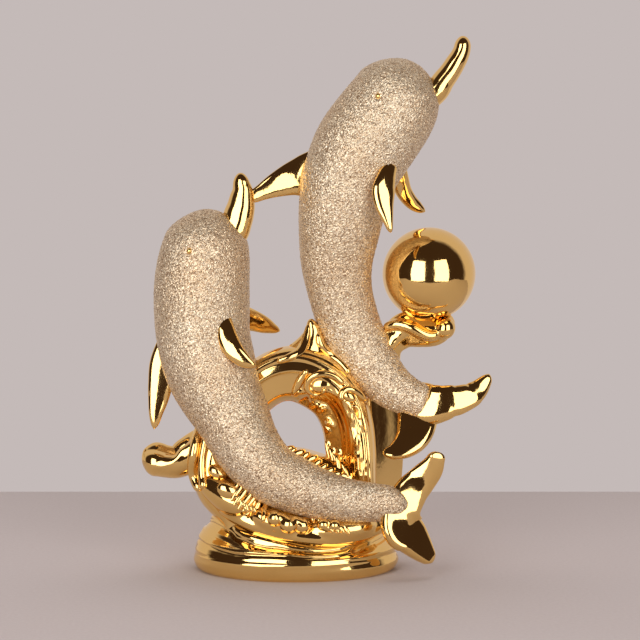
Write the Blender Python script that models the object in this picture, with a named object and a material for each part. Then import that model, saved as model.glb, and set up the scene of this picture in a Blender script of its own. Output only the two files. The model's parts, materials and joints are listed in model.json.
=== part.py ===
"""Two leaping dolphins on a cresting wave, with a ball: the solid of a slip-cast ceramic figurine.

Metres, +Z up. The figurine stands on Z = 0 and its front is the -Y side. It is one cast piece, so
every form below is joined into one body. The pose and the proportions are kept as shares of the
figurine's height. The ball, the base and the thicknesses of the thin parts have sizes of their own.
"""

import math

import bmesh
import bpy
from mathutils import Vector

# Sizes

FIGURE_HEIGHT = 0.300
BALL_DIAMETER = 0.053
BALL_BEDDING = 0.0022  # how deep the ball sits in the crest
BALL_TO_BODY = 0.0055  # the gap between the ball and the upper dolphin
BASE_WIDTH = 0.117
BASE_DEPTH = 0.082
BASE_HEIGHT = 0.034
FIN_THICKNESS = 0.0056
FLUKE_THICKNESS = 0.0076
EYE_DIAMETER = 0.0030
EYE_STAND = 0.0006  # how far an eye stands out of the skin

# Smoothness: the number of sides and of stations

BODY_SIDES = 16
BODY_STATIONS = 18
CAP_STATIONS = 5
HORN_SIDES = 8  # a multiple of four, so that two sides carry the mouth line
THIN_STATIONS = 8  # stations of a beak, fin or fluke
BLADE_SIDES = 8
STRANDS = 6  # ridges round a stem of the wave
SIDES_PER_STRAND = 3
RING_STATIONS = 28
CREST_STATIONS = 12
SCROLL_STATIONS = 9
BALL_SIDES = 20
BASE_SIDES = 36

# Carving of the wave, as shares of a stem's radius

STRAND_DEPTH = 0.24

# The pose: X, Y, Z and the half width seen from the front, in hundredths of the height

UPPER_BODY = (
    (23.0, 0.3, 95.6, 6.9),
    (20.7, 0.3, 92.0, 8.3),
    (16.4, 0.3, 85.5, 9.2),
    (12.9, 0.6, 80.0, 9.0),
    (10.5, 0.8, 75.2, 8.6),
    (8.9, 1.0, 69.6, 8.3),
    (8.1, 1.3, 63.8, 7.6),
    (7.7, 1.7, 58.2, 6.8),
    (8.3, 2.0, 52.8, 6.1),
    (9.5, 2.3, 48.2, 5.9),
    (11.2, 2.3, 43.8, 5.7),
    (13.8, 1.7, 39.4, 5.3),
    (17.2, 0.3, 35.4, 4.4),
    (20.6, -0.9, 33.0, 3.7),
    (24.4, -2.0, 30.8, 3.2),
)
LOWER_BODY = (
    (-16.1, 0.0, 68.3, 6.6),
    (-16.5, 0.0, 64.6, 7.9),
    (-17.1, 0.0, 60.0, 8.5),
    (-17.6, 0.0, 55.0, 8.9),
    (-17.7, -0.3, 49.8, 9.0),
    (-17.4, -1.0, 44.4, 8.8),
    (-16.3, -1.7, 39.4, 8.7),
    (-14.5, -2.7, 34.8, 8.1),
    (-12.0, -4.3, 30.0, 7.1),
    (-9.1, -6.3, 24.5, 6.3),
    (-5.0, -8.0, 19.9, 5.7),
    (0.3, -9.0, 17.3, 5.2),
    (5.5, -9.3, 15.5, 4.6),
    (10.3, -9.3, 14.5, 3.9),
    (14.6, -9.3, 14.1, 3.3),
    (19.0, -9.0, 13.7, 2.7),
)
HEAD_CAP = 6.6  # length over which a head rounds off
TAIL_CAP = 2.2  # length over which a tail rounds off between the flukes
BODY_DEPTHS = (0.92, 0.62)  # depth against width, at the head and at the tail

# The eyes of the upper and the lower dolphin: how far along the body, and how far round it to the back

EYE_ALONG = (0.100, 0.120)
EYE_TURN = (0.30, 0.40)

UPPER_BEAK = (
    (22.8, 0.3, 89.6, 2.9),
    (25.8, 0.3, 91.1, 2.5),
    (27.2, 0.3, 92.3, 2.2),
    (28.6, 0.3, 94.0, 1.9),
    (29.8, 0.3, 96.2, 1.6),
    (30.8, 0.3, 98.3, 1.1),
    (31.3, 0.3, 100.0, 0.45),
)
LOWER_BEAK = (
    (-12.9, 0.0, 62.9, 2.7),
    (-11.4, 0.0, 65.2, 2.4),
    (-10.5, 0.0, 67.5, 2.2),
    (-10.1, 0.0, 69.6, 2.0),
    (-9.9, 0.0, 71.6, 1.6),
    (-10.0, 0.0, 73.2, 1.0),
    (-10.2, 0.0, 74.4, 0.4),
)

# Fins and flukes: the last figure is the half width of the blade

UPPER_DORSAL = (
    (4.0, 1.0, 75.0, 4.4),
    (1.3, 1.0, 74.3, 3.9),
    (-1.1, 1.0, 73.7, 3.1),
    (-3.9, 0.7, 72.6, 2.3),
    (-6.3, 0.3, 71.4, 1.6),
    (-8.0, 0.1, 70.5, 1.2),
    (-8.9, 0.0, 70.1, 0.6),
)
LOWER_DORSAL = (
    (-22.3, -1.2, 42.8, 3.8),
    (-24.4, -1.6, 39.2, 3.1),
    (-25.4, -1.9, 35.4, 2.4),
    (-25.9, -2.0, 32.4, 1.9),
    (-26.3, -2.2, 30.2, 1.4),
    (-26.5, -2.3, 28.3, 0.9),
    (-26.7, -2.3, 26.9, 0.3),
)
LOWER_NEAR_PECTORAL = (
    (-13.4, -5.6, 49.4, 1.2),
    (-13.0, -7.3, 47.0, 1.6),
    (-12.4, -8.2, 44.6, 1.9),
    (-11.2, -9.0, 42.4, 1.8),
    (-9.2, -9.4, 40.6, 1.3),
    (-7.2, -9.6, 39.7, 0.4),
)
LOWER_FAR_PECTORAL = (
    (-12.4, 3.4, 48.2, 2.6),
    (-10.0, 5.0, 47.2, 2.4),
    (-8.0, 6.3, 46.5, 2.0),
    (-6.0, 7.4, 45.6, 1.6),
    (-4.5, 8.3, 44.9, 1.0),
    (-3.2, 8.9, 44.4, 0.4),
)
UPPER_NEAR_PECTORAL = (
    (17.6, -5.0, 76.8, 1.4),
    (16.7, -6.6, 74.1, 1.9),
    (16.2, -7.5, 71.8, 2.2),
    (16.3, -8.1, 69.4, 1.8),
    (16.8, -8.5, 67.2, 1.2),
    (17.5, -8.7, 64.2, 0.4),
)
UPPER_FAR_PECTORAL = (
    (18.8, 3.6, 76.2, 2.0),
    (19.6, 5.3, 73.7, 1.8),
    (20.4, 6.4, 71.5, 1.6),
    (21.7, 7.4, 69.6, 1.4),
    (23.2, 8.1, 68.3, 1.1),
    (24.7, 8.6, 67.4, 0.4),
)
UPPER_FLUKE_RIGHT = (
    (20.6, -0.9, 33.2, 3.3),
    (23.4, -1.6, 32.0, 3.9),
    (26.2, -1.9, 31.7, 3.7),
    (29.0, -2.2, 32.0, 3.1),
    (31.6, -2.5, 33.0, 2.5),
    (34.0, -2.9, 34.8, 1.7),
    (35.5, -3.1, 36.4, 0.9),
    (36.3, -3.1, 37.5, 0.3),
)
UPPER_FLUKE_LEFT = (
    (21.4, -1.1, 33.6, 3.3),
    (22.9, -1.9, 30.6, 3.9),
    (23.1, -2.5, 27.9, 3.7),
    (22.3, -3.0, 25.5, 3.2),
    (20.6, -3.4, 23.6, 2.3),
    (18.6, -3.7, 22.9, 1.5),
    (16.5, -3.8, 22.9, 0.4),
)
LOWER_FLUKE_UPPER = (
    (16.6, -9.1, 13.6, 2.4),
    (18.8, -9.0, 15.3, 2.9),
    (20.9, -9.0, 16.9, 3.1),
    (22.9, -9.0, 18.7, 2.8),
    (24.8, -9.0, 20.7, 2.3),
    (26.0, -9.0, 22.3, 1.7),
    (26.8, -9.0, 23.6, 0.6),
)
LOWER_FLUKE_LOWER = (
    (17.0, -9.0, 14.6, 2.4),
    (18.8, -9.2, 12.4, 3.4),
    (20.3, -9.4, 10.1, 3.8),
    (21.8, -9.7, 8.0, 3.2),
    (23.1, -10.0, 6.2, 2.5),
    (24.3, -10.3, 4.8, 1.7),
    (25.2, -10.4, 3.4, 0.5),
)

# The wave: X, Y, Z, half width and half depth of each stem

WAVE_RING = (
    (10.4, 0.6, 5.2, 4.8, 7.2),
    (10.7, 0.7, 11.0, 4.7, 6.8),
    (10.6, 0.7, 17.0, 4.7, 6.2),
    (10.4, 0.9, 22.4, 4.8, 5.8),
    (9.7, 1.1, 27.6, 4.9, 5.5),
    (7.8, 1.2, 32.2, 5.2, 5.2),
    (4.4, 1.2, 35.4, 5.5, 4.9),
    (0.2, 1.2, 37.0, 5.4, 4.6),
    (-4.0, 1.0, 36.4, 5.0, 4.6),
    (-7.8, 0.8, 33.8, 4.7, 4.8),
    (-10.8, 0.7, 30.0, 4.6, 5.2),
    (-13.3, 0.6, 25.4, 4.7, 5.6),
    (-14.9, 0.4, 20.4, 4.9, 6.0),
    (-13.7, 0.2, 15.0, 5.2, 6.6),
    (-10.2, 0.0, 10.4, 4.8, 7.0),
    (-8.8, 0.0, 5.4, 5.0, 7.2),
)
HOOK = (
    (-14.4, -0.6, 23.2, 4.4, 4.8),
    (-17.4, -1.0, 23.1, 3.9, 4.4),
    (-20.4, -1.6, 21.4, 3.5, 3.9),
    (-23.2, -2.0, 20.6, 2.9, 3.4),
    (-25.6, -2.0, 20.9, 2.8, 3.1),
    (-27.2, -2.0, 21.9, 2.4, 2.8),
    (-28.2, -2.0, 23.1, 1.0, 1.6),
)
SADDLE = (
    (-12.5, 0.6, 15.6, 4.2, 5.4),
    (-6.0, 0.3, 16.6, 4.8, 5.8),
    (0.6, 0.2, 17.2, 4.9, 5.8),
    (6.6, 0.3, 16.6, 4.7, 5.8),
    (12.0, 0.6, 15.4, 4.2, 5.4),
)
COLUMN = (
    (16.4, 3.3, 6.4, 4.6, 5.2),
    (16.8, 4.8, 12.8, 3.8, 4.4),
    (17.3, 6.0, 19.6, 3.2, 3.8),
    (17.3, 6.4, 26.4, 3.2, 3.5),
    (16.8, 6.4, 32.0, 3.1, 3.3),
    (16.8, 5.8, 37.4, 2.8, 3.0),
)
BREAKER_TIP = (
    (0.2, 1.2, 38.6, 3.6, 2.8),
    (1.4, 1.2, 42.4, 2.2, 2.0),
    (2.4, 1.1, 45.2, 1.1, 1.3),
    (2.8, 1.0, 47.4, 0.3, 0.5),
)
FRONT_ROLL = (
    (-18.0, 0.0, 18.6, 1.3, 1.4),
    (-17.3, -3.0, 15.1, 1.9, 1.9),
    (-14.4, -5.7, 12.9, 2.0, 2.0),
    (-10.3, -8.0, 11.2, 2.0, 2.0),
    (-5.1, -9.7, 9.7, 2.0, 2.0),
    (0.8, -10.7, 8.8, 2.0, 2.0),
    (6.6, -10.7, 8.5, 2.0, 2.0),
    (12.0, -9.0, 8.8, 1.9, 1.9),
    (16.4, -5.0, 9.4, 1.6, 1.6),
)
FRONT_LOBES = (
    ((-16.4, -2.6, 17.4, 1.8, 3.2), (-13.4, -4.8, 16.2, 3.0, 4.0), (-9.9, -6.4, 14.4, 3.2, 4.0),
     (-6.4, -7.6, 12.6, 2.0, 3.2)),
    ((-7.2, -6.2, 13.2, 2.0, 3.6), (-3.6, -7.6, 12.4, 2.8, 4.6), (-0.1, -8.4, 11.2, 2.9, 4.4),
     (3.2, -9.2, 10.0, 1.9, 3.2)),
    ((1.4, -7.8, 10.8, 2.0, 3.8), (5.8, -8.4, 10.8, 2.7, 4.4), (10.2, -7.6, 10.4, 2.7, 4.4),
     (14.6, -5.2, 10.8, 2.2, 3.4)),
)

# Scrolls on the wave's face: centre, radius of the curl, radius of its strand and of the bead inside it

SCROLLS = (
    ((5.3, -3.2, 33.2), 1.8, 0.85, 1.25, 1),
    ((-14.9, -5.0, 18.3), 1.2, 0.65, 0.95, -1),
)
SCROLL_TURN = 0.8

# The ball's place: its lowest point and how far back its centre lies, in hundredths of the height

BALL_FLOOR = 47.0
BALL_BACK = 3.3

# The crest that carries the ball. Its root rises behind the upper dolphin, in hundredths of the height.
# Its arm is measured from the ball's lowest point, in shares of the ball's diameter: across, up,
# half width and half depth.

CREST_ROOT = (
    (16.8, 6.0, 33.0, 2.7, 2.8),
    (17.2, 6.0, 37.8, 2.6, 2.7),
)
CREST_ARM = (
    (-0.430, -0.330, 0.135, 0.140),
    (-0.350, -0.170, 0.155, 0.155),
    (-0.235, -0.085, 0.150, 0.165),
    (-0.090, -0.105, 0.135, 0.170),
    (0.060, -0.115, 0.128, 0.170),
    (0.160, -0.060, 0.100, 0.150),
    (0.215, 0.030, 0.045, 0.090),
)

# The base's layers: share of its height, share of its half width, and how far the layer rises at
# the left end and at the back, as shares of its own height

BASE_LEVELS = (
    (0.00, 0.935, 0.0, 0.0),
    (0.05, 0.975, 0.0, 0.0),
    (0.16, 1.000, 0.0, 0.0),
    (0.25, 0.985, 0.0, -0.1),
    (0.30, 0.950, 0.0, -0.1),
    (0.37, 0.962, 0.0, 0.0),
    (0.48, 0.945, 0.1, 0.1),
    (0.58, 0.880, 0.1, 0.2),
    (0.63, 0.820, 0.1, 0.2),
    (0.74, 0.800, 0.1, 0.2),
    (0.87, 0.745, 0.1, 0.2),
    (1.00, 0.580, 0.1, 0.2),
)
BASE_RIPPLE = 0.012  # waviness of the layers, as a share of the half width


def share(value):
    """Hundredths of the figurine's height, in metres."""
    return value * FIGURE_HEIGHT / 100


def spline(rows, at):
    """The row at parameter `at`, from 0 to 1, on a smooth curve through the rows."""
    last = len(rows) - 1
    t = min(max(at, 0.0), 1.0) * last
    i = min(int(t), last - 1)
    f = t - i
    a, b, c, d = (rows[min(max(k, 0), last)] for k in (i - 1, i, i + 1, i + 2))
    return [
        0.5 * (2 * q + (r - p) * f + (2 * p - 5 * q + 4 * r - s) * f**2 + (3 * q - p - 3 * r + s) * f**3)
        for p, q, r, s in zip(a, b, c, d)
    ]


def even_parameters(rows, count):
    """Parameters that split the curve through the rows into stretches of equal length."""
    fine = 40 * len(rows)
    points = [Vector(spline(rows, k / fine)[:3]) for k in range(fine + 1)]
    lengths = [0.0]
    for a, b in zip(points, points[1:]):
        lengths.append(lengths[-1] + (b - a).length)
    found = []
    k = 0
    for step in range(count):
        wanted = lengths[-1] * step / (count - 1)
        while k < fine - 1 and lengths[k + 1] < wanted:
            k += 1
        found.append((k + (wanted - lengths[k]) / (lengths[k + 1] - lengths[k])) / fine)
    return found, lengths[-1]


def plain(_angle, _along):
    return 1.0


def stranded(angle, _along):
    """A section with rounded ridges and sharp grooves between them."""
    return 1.0 + STRAND_DEPTH * (abs(math.sin(STRANDS * angle / 2)) - 0.6)


def mouthed(angle, _along):
    """A round section with a shallow mouth line along each side."""
    return 0.80 if abs(math.sin(angle)) > 0.99 else 1.0


def loft(name, stations, sides, section, face, material, turn=0.0):
    """A closed skin over stations of (centre, half width, half depth), in metres.

    The half width lies across the path and across `face`, the half depth along `face`. `turn` is
    how far the section winds round the path from end to end.
    """
    skin = bmesh.new()
    rings = []
    for k, (centre, wide, deep) in enumerate(stations):
        before = stations[max(k - 1, 0)][0]
        after = stations[min(k + 1, len(stations) - 1)][0]
        along = (after - before).normalized()
        side = along.cross(face).normalized()
        out = side.cross(along).normalized()
        ring = []
        for n in range(sides):
            angle = 2 * math.pi * n / sides
            reach = section(angle, k / (len(stations) - 1))
            angle += turn * k / (len(stations) - 1)
            ring.append(skin.verts.new(
                centre + side * (wide * reach * math.cos(angle)) + out * (deep * reach * math.sin(angle))
            ))
        rings.append(ring)
    closed_rings(skin, rings)
    return finished(name, skin, material)


def closed_rings(skin, rings):
    """Faces between rings of vertices, with a fan over each end."""
    sides = len(rings[0])
    for low, high in zip(rings, rings[1:]):
        for n in range(sides):
            m = (n + 1) % sides
            skin.faces.new((low[n], low[m], high[m]))
            skin.faces.new((low[n], high[m], high[n]))
    for ring in (rings[0], rings[-1]):
        middle = skin.verts.new(sum((vert.co for vert in ring), Vector()) / sides)
        for n in range(sides):
            skin.faces.new((ring[n], ring[(n + 1) % sides], middle))


def finished(name, skin, material):
    """The mesh as an object, with its faces turned outwards."""
    bmesh.ops.recalc_face_normals(skin, faces=skin.faces)
    mesh = bpy.data.meshes.new(name)
    skin.to_mesh(mesh)
    skin.free()
    mesh.materials.append(material)
    made = bpy.data.objects.new(name, mesh)
    bpy.context.scene.collection.objects.link(made)
    return made


def body(name, rows, material):
    """A dolphin's body: a rounded head, then a spindle that flattens towards the tail and rounds off."""
    found, length = even_parameters(rows, 400)
    head, tail = share(HEAD_CAP), share(TAIL_CAP)
    length = share(length)
    marks = [head * (1 - math.cos(math.pi / 2 * (k + 0.12) / CAP_STATIONS)) for k in range(CAP_STATIONS)]
    marks += [head + (length - tail - head) * k / (BODY_STATIONS - 1) for k in range(BODY_STATIONS)]
    marks += [length - tail * 0.35, length - tail * 0.05]
    stations = []
    for mark in marks:
        at = mark / length
        x, y, z, wide = spline(rows, found[round(at * 399)])
        wide = share(wide)
        if mark < head:
            wide *= math.sqrt(1 - (1 - mark / head) ** 2)
        if mark > length - tail:
            wide *= math.sqrt(1 - (1 - (length - mark) / tail) ** 2)
        deep = BODY_DEPTHS[0] + (BODY_DEPTHS[1] - BODY_DEPTHS[0]) * max(0.0, at - 0.45) / 0.55
        stations.append((Vector((share(x), share(y), share(z))), wide, wide * deep))
    return loft(name, stations, BODY_SIDES, plain, Vector((0, -1, 0)), material)


def horn(name, rows, material):
    """A beak: a tapering horn with its mouth line."""
    stations = []
    for at in even_parameters(rows, THIN_STATIONS)[0]:
        x, y, z, wide = spline(rows, at)
        stations.append((Vector((share(x), share(y), share(z))), share(wide), share(wide) * 0.95))
    return loft(name, stations, HORN_SIDES, mouthed, Vector((0, -1, 0)), material)


def blade(name, rows, thickness, face, material):
    """A fin or one half of a fluke: a flat lens that thins towards its tip."""
    widest = max(row[3] for row in rows)
    stations = []
    for at in even_parameters(rows, THIN_STATIONS)[0]:
        x, y, z, wide = spline(rows, at)
        wide = max(wide, 0.2)
        thin = thickness / 2 * (0.30 + 0.70 * min(1.0, wide / widest))
        stations.append((Vector((share(x), share(y), share(z))), share(wide), thin))
    return loft(name, stations, BLADE_SIDES, plain, Vector(face).normalized(), material)


def stem(name, rows, count, turn, material):
    """A stem of the wave, with strands that run along it."""
    stations = []
    for at in even_parameters(rows, count)[0]:
        x, y, z, wide, deep = spline(rows, at)
        stations.append((Vector((share(x), share(y), share(z))), share(wide), share(deep)))
    sides = STRANDS * SIDES_PER_STRAND
    return loft(name, stations, sides, stranded, Vector((0, -1, 0)), material, turn)


def lump(name, rows, count, sides, material):
    """A plain rounded roll."""
    stations = []
    for at in even_parameters(rows, count)[0]:
        x, y, z, wide, deep = spline(rows, at)
        rounding = 0.25 + 0.75 * math.sqrt(max(0.0, 1 - (2 * at - 1) ** 6))
        stations.append((
            Vector((share(x), share(y), share(z))),
            share(wide) * rounding,
            share(deep) * rounding,
        ))
    return loft(name, stations, sides, plain, Vector((0, -1, 0)), material)


def scroll(name, centre, reach, rolled, way, material):
    """A strand that curls round on the wave's face."""
    middle = Vector([share(value) for value in centre])
    stations = []
    for k in range(SCROLL_STATIONS):
        along = k / (SCROLL_STATIONS - 1)
        angle = way * (2 * math.pi * SCROLL_TURN * along + 2.4)
        arm = share(reach) * (1.12 - 0.12 * along)
        place = middle + Vector((arm * math.cos(angle), 0, arm * math.sin(angle)))
        thick = share(rolled) * (1.0 - 0.35 * along)
        stations.append((place, thick, thick))
    return loft(name, stations, 6, plain, Vector((0, -1, 0)), material)


def ellipsoid(name, centre, radii, sides, material):
    skin = bmesh.new()
    bmesh.ops.create_uvsphere(skin, u_segments=sides, v_segments=max(6, sides * 6 // 11), radius=1)
    for vert in skin.verts:
        vert.co = centre + Vector(c * r for c, r in zip(vert.co, radii))
    return finished(name, skin, material)


def body_side(rows, height):
    """X of a body's right side, in metres, at a height in metres."""
    reach = -1.0
    for k in range(401):
        x, _, z, wide = spline(rows, k / 400)
        if abs(share(z) - height) <= share(wide) * 0.4:
            reach = max(reach, share(x + wide))
    return reach


def ball_centre():
    """The ball hangs beside the upper dolphin, its underside at the crest's level."""
    height = share(BALL_FLOOR) + BALL_DIAMETER / 2
    across = body_side(UPPER_BODY, height) + BALL_TO_BODY + BALL_DIAMETER / 2
    return Vector((across, share(BALL_BACK), height))


def crest(name, ball, material):
    """The wave's crest: it rises behind the upper dolphin, turns under the ball and ends in a rolled lip."""
    rows = [tuple(share(value) for value in row) for row in CREST_ROOT]
    floor = ball.z - BALL_DIAMETER / 2 + BALL_BEDDING
    for across, up, wide, deep in CREST_ARM:
        rows.append((
            ball.x + BALL_DIAMETER * across,
            ball.y,
            floor + BALL_DIAMETER * up,
            BALL_DIAMETER * wide,
            BALL_DIAMETER * deep,
        ))
    stations = []
    for at in even_parameters(rows, CREST_STATIONS)[0]:
        x, y, z, wide, deep = spline(rows, at)
        stations.append((Vector((x, y, z)), wide, deep))
    sides = STRANDS * SIDES_PER_STRAND
    return loft(name, stations, sides, stranded, Vector((0, -1, 0)), material, 0.9)


def base(name, material):
    """The oval base: rolled layers of water that ride higher at the left end."""
    skin = bmesh.new()
    rings = []
    for height, reach, left, back in BASE_LEVELS:
        ring = []
        for n in range(BASE_SIDES):
            angle = 2 * math.pi * n / BASE_SIDES
            ripple = 1 + BASE_RIPPLE * math.sin(5 * angle + 7 * height) * height
            lift = 1 - left * math.cos(angle) + back * math.sin(angle)
            ring.append(skin.verts.new((
                BASE_WIDTH / 2 * reach * ripple * math.cos(angle),
                BASE_DEPTH / 2 * reach * ripple * math.sin(angle),
                BASE_HEIGHT * height * lift,
            )))
        rings.append(ring)
    closed_rings(skin, rings)
    return finished(name, skin, material)


def eye(name, rows, at, turn, near, material):
    """An eye bead on a body's side: `at` along the body, `turn` round it from the side towards the back."""
    x, y, z, wide = spline(rows, at)
    centre = Vector((share(x), share(y), share(z)))
    ahead = Vector(spline(rows, at + 0.01)[:3]) - Vector(spline(rows, at - 0.01)[:3])
    side = ahead.cross(Vector((0, -1, 0))).normalized()
    out = Vector((0, -1 if near else 1, 0))
    place = centre + side * (share(wide) * math.sin(turn)) + out * (
        share(wide) * BODY_DEPTHS[0] * math.cos(turn)
    )
    away = (place - centre).normalized()
    radius = EYE_DIAMETER / 2
    return ellipsoid(name, place - away * (radius - EYE_STAND), (radius,) * 3, 7, material)


def coloured(name, colour, metallic, roughness):
    made = bpy.data.materials.new(name)
    made.use_nodes = True
    made.diffuse_color = (*colour, 1)
    shader = made.node_tree.nodes["Principled BSDF"]
    shader.inputs["Base Color"].default_value = (*colour, 1)
    shader.inputs["Metallic"].default_value = metallic
    shader.inputs["Roughness"].default_value = roughness
    return made


def joined(name, pieces):
    """All the forms as one skin, with what lies inside removed: each form is added to those before it."""
    whole, others = pieces[0], pieces[1:]
    for piece in others:
        union = whole.modifiers.new("union", "BOOLEAN")
        union.operation = "UNION"
        union.solver = "EXACT"
        union.material_mode = "TRANSFER"
        union.object = piece
        bpy.context.view_layer.update()
        graph = bpy.context.evaluated_depsgraph_get()
        mesh = bpy.data.meshes.new_from_object(whole.evaluated_get(graph))
        whole.modifiers.remove(union)
        whole.data = mesh
        bpy.data.objects.remove(piece)
    skin = bmesh.new()
    skin.from_mesh(whole.data)
    bmesh.ops.triangulate(skin, faces=skin.faces)
    bmesh.ops.dissolve_degenerate(skin, dist=2e-5, edges=skin.edges)
    skin.to_mesh(whole.data)
    skin.free()
    whole.name = name
    whole.data.name = name
    return whole


for old in list(bpy.data.objects):
    bpy.data.objects.remove(old)

gold = coloured("gold_plate", (0.85, 0.55, 0.16), 1.0, 0.15)
sand = coloured("sand_coat", (0.66, 0.50, 0.36), 0.6, 0.55)
ball_place = ball_centre()

forms = [
    base("base", gold),
    stem("wave_ring", WAVE_RING, RING_STATIONS, 1.6, gold),
    stem("hook", HOOK, 10, 1.0, gold),
    stem("saddle", SADDLE, 8, 0.8, gold),
    stem("column", COLUMN, 9, 1.0, gold),
    lump("breaker_tip", BREAKER_TIP, 6, 8, gold),
    lump("front_roll", FRONT_ROLL, 12, 8, gold),
    crest("crest", ball_place, gold),
    ellipsoid("ball", ball_place, (BALL_DIAMETER / 2,) * 3, BALL_SIDES, gold),
    body("upper_body", UPPER_BODY, sand),
    body("lower_body", LOWER_BODY, sand),
    horn("upper_beak", UPPER_BEAK, gold),
    horn("lower_beak", LOWER_BEAK, gold),
    blade("upper_dorsal", UPPER_DORSAL, FIN_THICKNESS, (0, -1, 0), gold),
    blade("lower_dorsal", LOWER_DORSAL, FIN_THICKNESS, (0, -1, 0), gold),
    blade("upper_near_pectoral", UPPER_NEAR_PECTORAL, FIN_THICKNESS, (0.25, -1, -0.2), gold),
    blade("upper_far_pectoral", UPPER_FAR_PECTORAL, FIN_THICKNESS, (-0.2, -1, 0.1), gold),
    blade("lower_near_pectoral", LOWER_NEAR_PECTORAL, FIN_THICKNESS, (0.2, -1, -0.2), gold),
    blade("lower_far_pectoral", LOWER_FAR_PECTORAL, FIN_THICKNESS, (-0.2, -1, 0.1), gold),
    blade("upper_fluke_right", UPPER_FLUKE_RIGHT, FLUKE_THICKNESS, (0, -1, 0.2), gold),
    blade("upper_fluke_left", UPPER_FLUKE_LEFT, FLUKE_THICKNESS, (0, -1, 0.2), gold),
    blade("lower_fluke_upper", LOWER_FLUKE_UPPER, FLUKE_THICKNESS, (0, -1, 0.2), gold),
    blade("lower_fluke_lower", LOWER_FLUKE_LOWER, FLUKE_THICKNESS, (0, -1, 0.2), gold),
]
for number, rows in enumerate(FRONT_LOBES):
    forms.append(lump(f"front_lobe_{number}", rows, 6, 10, gold))
for number, (centre, reach, rolled, bead, way) in enumerate(SCROLLS):
    forms.append(scroll(f"scroll_{number}", centre, reach, rolled, way, gold))
    middle = Vector([share(value) for value in centre])
    forms.append(ellipsoid(f"scroll_bead_{number}", middle, (share(bead),) * 3, 10, gold))
for near in (True, False):
    forms.append(eye(f"upper_eye_{near}", UPPER_BODY, EYE_ALONG[0], EYE_TURN[0], near, gold))
    forms.append(eye(f"lower_eye_{near}", LOWER_BODY, EYE_ALONG[1], EYE_TURN[1], near, gold))

figurine = joined("dolphin_figurine", forms)
print("triangles:", len(figurine.data.polygons))
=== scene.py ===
# %% [markdown]
# # Two leaping dolphins on a gold wave
#
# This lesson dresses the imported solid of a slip-cast ceramic figurine. The real one is glazed, plated with
# bright gold, and then the two dolphins' bodies are brushed with glue and rolled in glittering sand. So there
# are only two finishes, mirror gold and sand, and all the life is in the forms. The solid carries the pose.
# Here each form is made again with far more points, because a mirror shows every facet.

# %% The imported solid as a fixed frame
import json
import math

import bpy
import numpy as np
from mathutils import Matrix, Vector
from mathutils.bvhtree import BVHTree

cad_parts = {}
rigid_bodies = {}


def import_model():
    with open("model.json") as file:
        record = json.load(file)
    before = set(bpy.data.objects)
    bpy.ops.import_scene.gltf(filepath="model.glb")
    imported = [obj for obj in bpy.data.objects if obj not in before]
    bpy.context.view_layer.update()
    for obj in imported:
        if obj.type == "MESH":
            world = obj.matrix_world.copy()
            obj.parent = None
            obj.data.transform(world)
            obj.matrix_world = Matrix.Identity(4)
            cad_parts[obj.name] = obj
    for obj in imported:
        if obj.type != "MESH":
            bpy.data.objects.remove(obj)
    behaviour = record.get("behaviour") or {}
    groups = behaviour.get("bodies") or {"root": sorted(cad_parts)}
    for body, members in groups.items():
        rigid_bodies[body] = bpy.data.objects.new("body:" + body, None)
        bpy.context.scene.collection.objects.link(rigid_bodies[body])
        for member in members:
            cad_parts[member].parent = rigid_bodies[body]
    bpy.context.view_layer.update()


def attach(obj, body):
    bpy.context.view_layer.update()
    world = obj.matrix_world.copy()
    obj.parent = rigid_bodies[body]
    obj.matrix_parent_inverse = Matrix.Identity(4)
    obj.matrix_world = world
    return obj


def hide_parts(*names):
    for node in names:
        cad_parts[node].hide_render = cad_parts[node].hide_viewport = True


for old in list(bpy.data.objects):
    bpy.data.objects.remove(old)
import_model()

# %% [markdown]
# ## Sizes
#
# The pose is written in hundredths of the figurine's height, as in the solid, so every number below can be
# read as a share of the whole. The ball, the base and the plate thicknesses have real sizes of their own.

# %% Sizes of the figurine
HEIGHT = 0.300
BALL_DIAMETER = 0.053
BALL_TO_BODY = 0.0055  # the gap between the ball and the upper dolphin
BALL_BEDDING = 0.0022  # how deep the ball sits in the crest
BALL_FOOT, BALL_Y = 47.0, 3.3  # the ball's lowest point and its place front to back, in hundredths
BASE_HALF = (0.0585, 0.041)
BASE_HEIGHT = 0.034
FIN_THICKNESS = 0.0056
FLUKE_THICKNESS = 0.0076
EYE_RADIUS = 0.0015
GRAIN = 0.0010
SAND_VOXEL = GRAIN * 0.72
TO_VIEWER = (0.0, -1.0, 0.0)


def share(value):
    """Hundredths of the figurine's height, in metres."""
    return np.asarray(value, float) * HEIGHT / 100

# %% [markdown]
# ## Camera
#
# The photograph was taken with a long lens from about a metre away, a little above the figurine's middle
# and looking slightly down. The lens and the tilt were found by laying the solid's outline over the photo.

# %% Camera
camera = bpy.data.objects.new("camera", bpy.data.cameras.new("camera"))
bpy.context.scene.collection.objects.link(camera)
bpy.context.scene.camera = camera
camera.data.lens = 109.5
CAMERA_TARGET = Vector((0.0136, 0.0, 0.142))
CAMERA_PITCH = math.radians(5.3)
CAMERA_DISTANCE = 1.1
look = Vector((0, math.cos(CAMERA_PITCH), -math.sin(CAMERA_PITCH)))
camera.location = CAMERA_TARGET - look * CAMERA_DISTANCE
camera.rotation_euler = look.to_track_quat("-Z", "Y").to_euler()
print("camera stands at", [round(v, 3) for v in camera.location])
bpy.context.scene.view_settings.view_transform = "Standard"

# %% [markdown]
# ## Light
#
# Mirror gold has no colour of its own until it has something to reflect. The ball in the photograph works
# like a light probe: it shows two tall soft boxes on either side of the camera, a dark studio round them, a
# pale table below and a bright wall behind. So the lamps are two soft boxes and an overhead fill that the
# gold doesn't mirror, and the world is dark in front and pale behind. The camera sees a plain pale wall.

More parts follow.
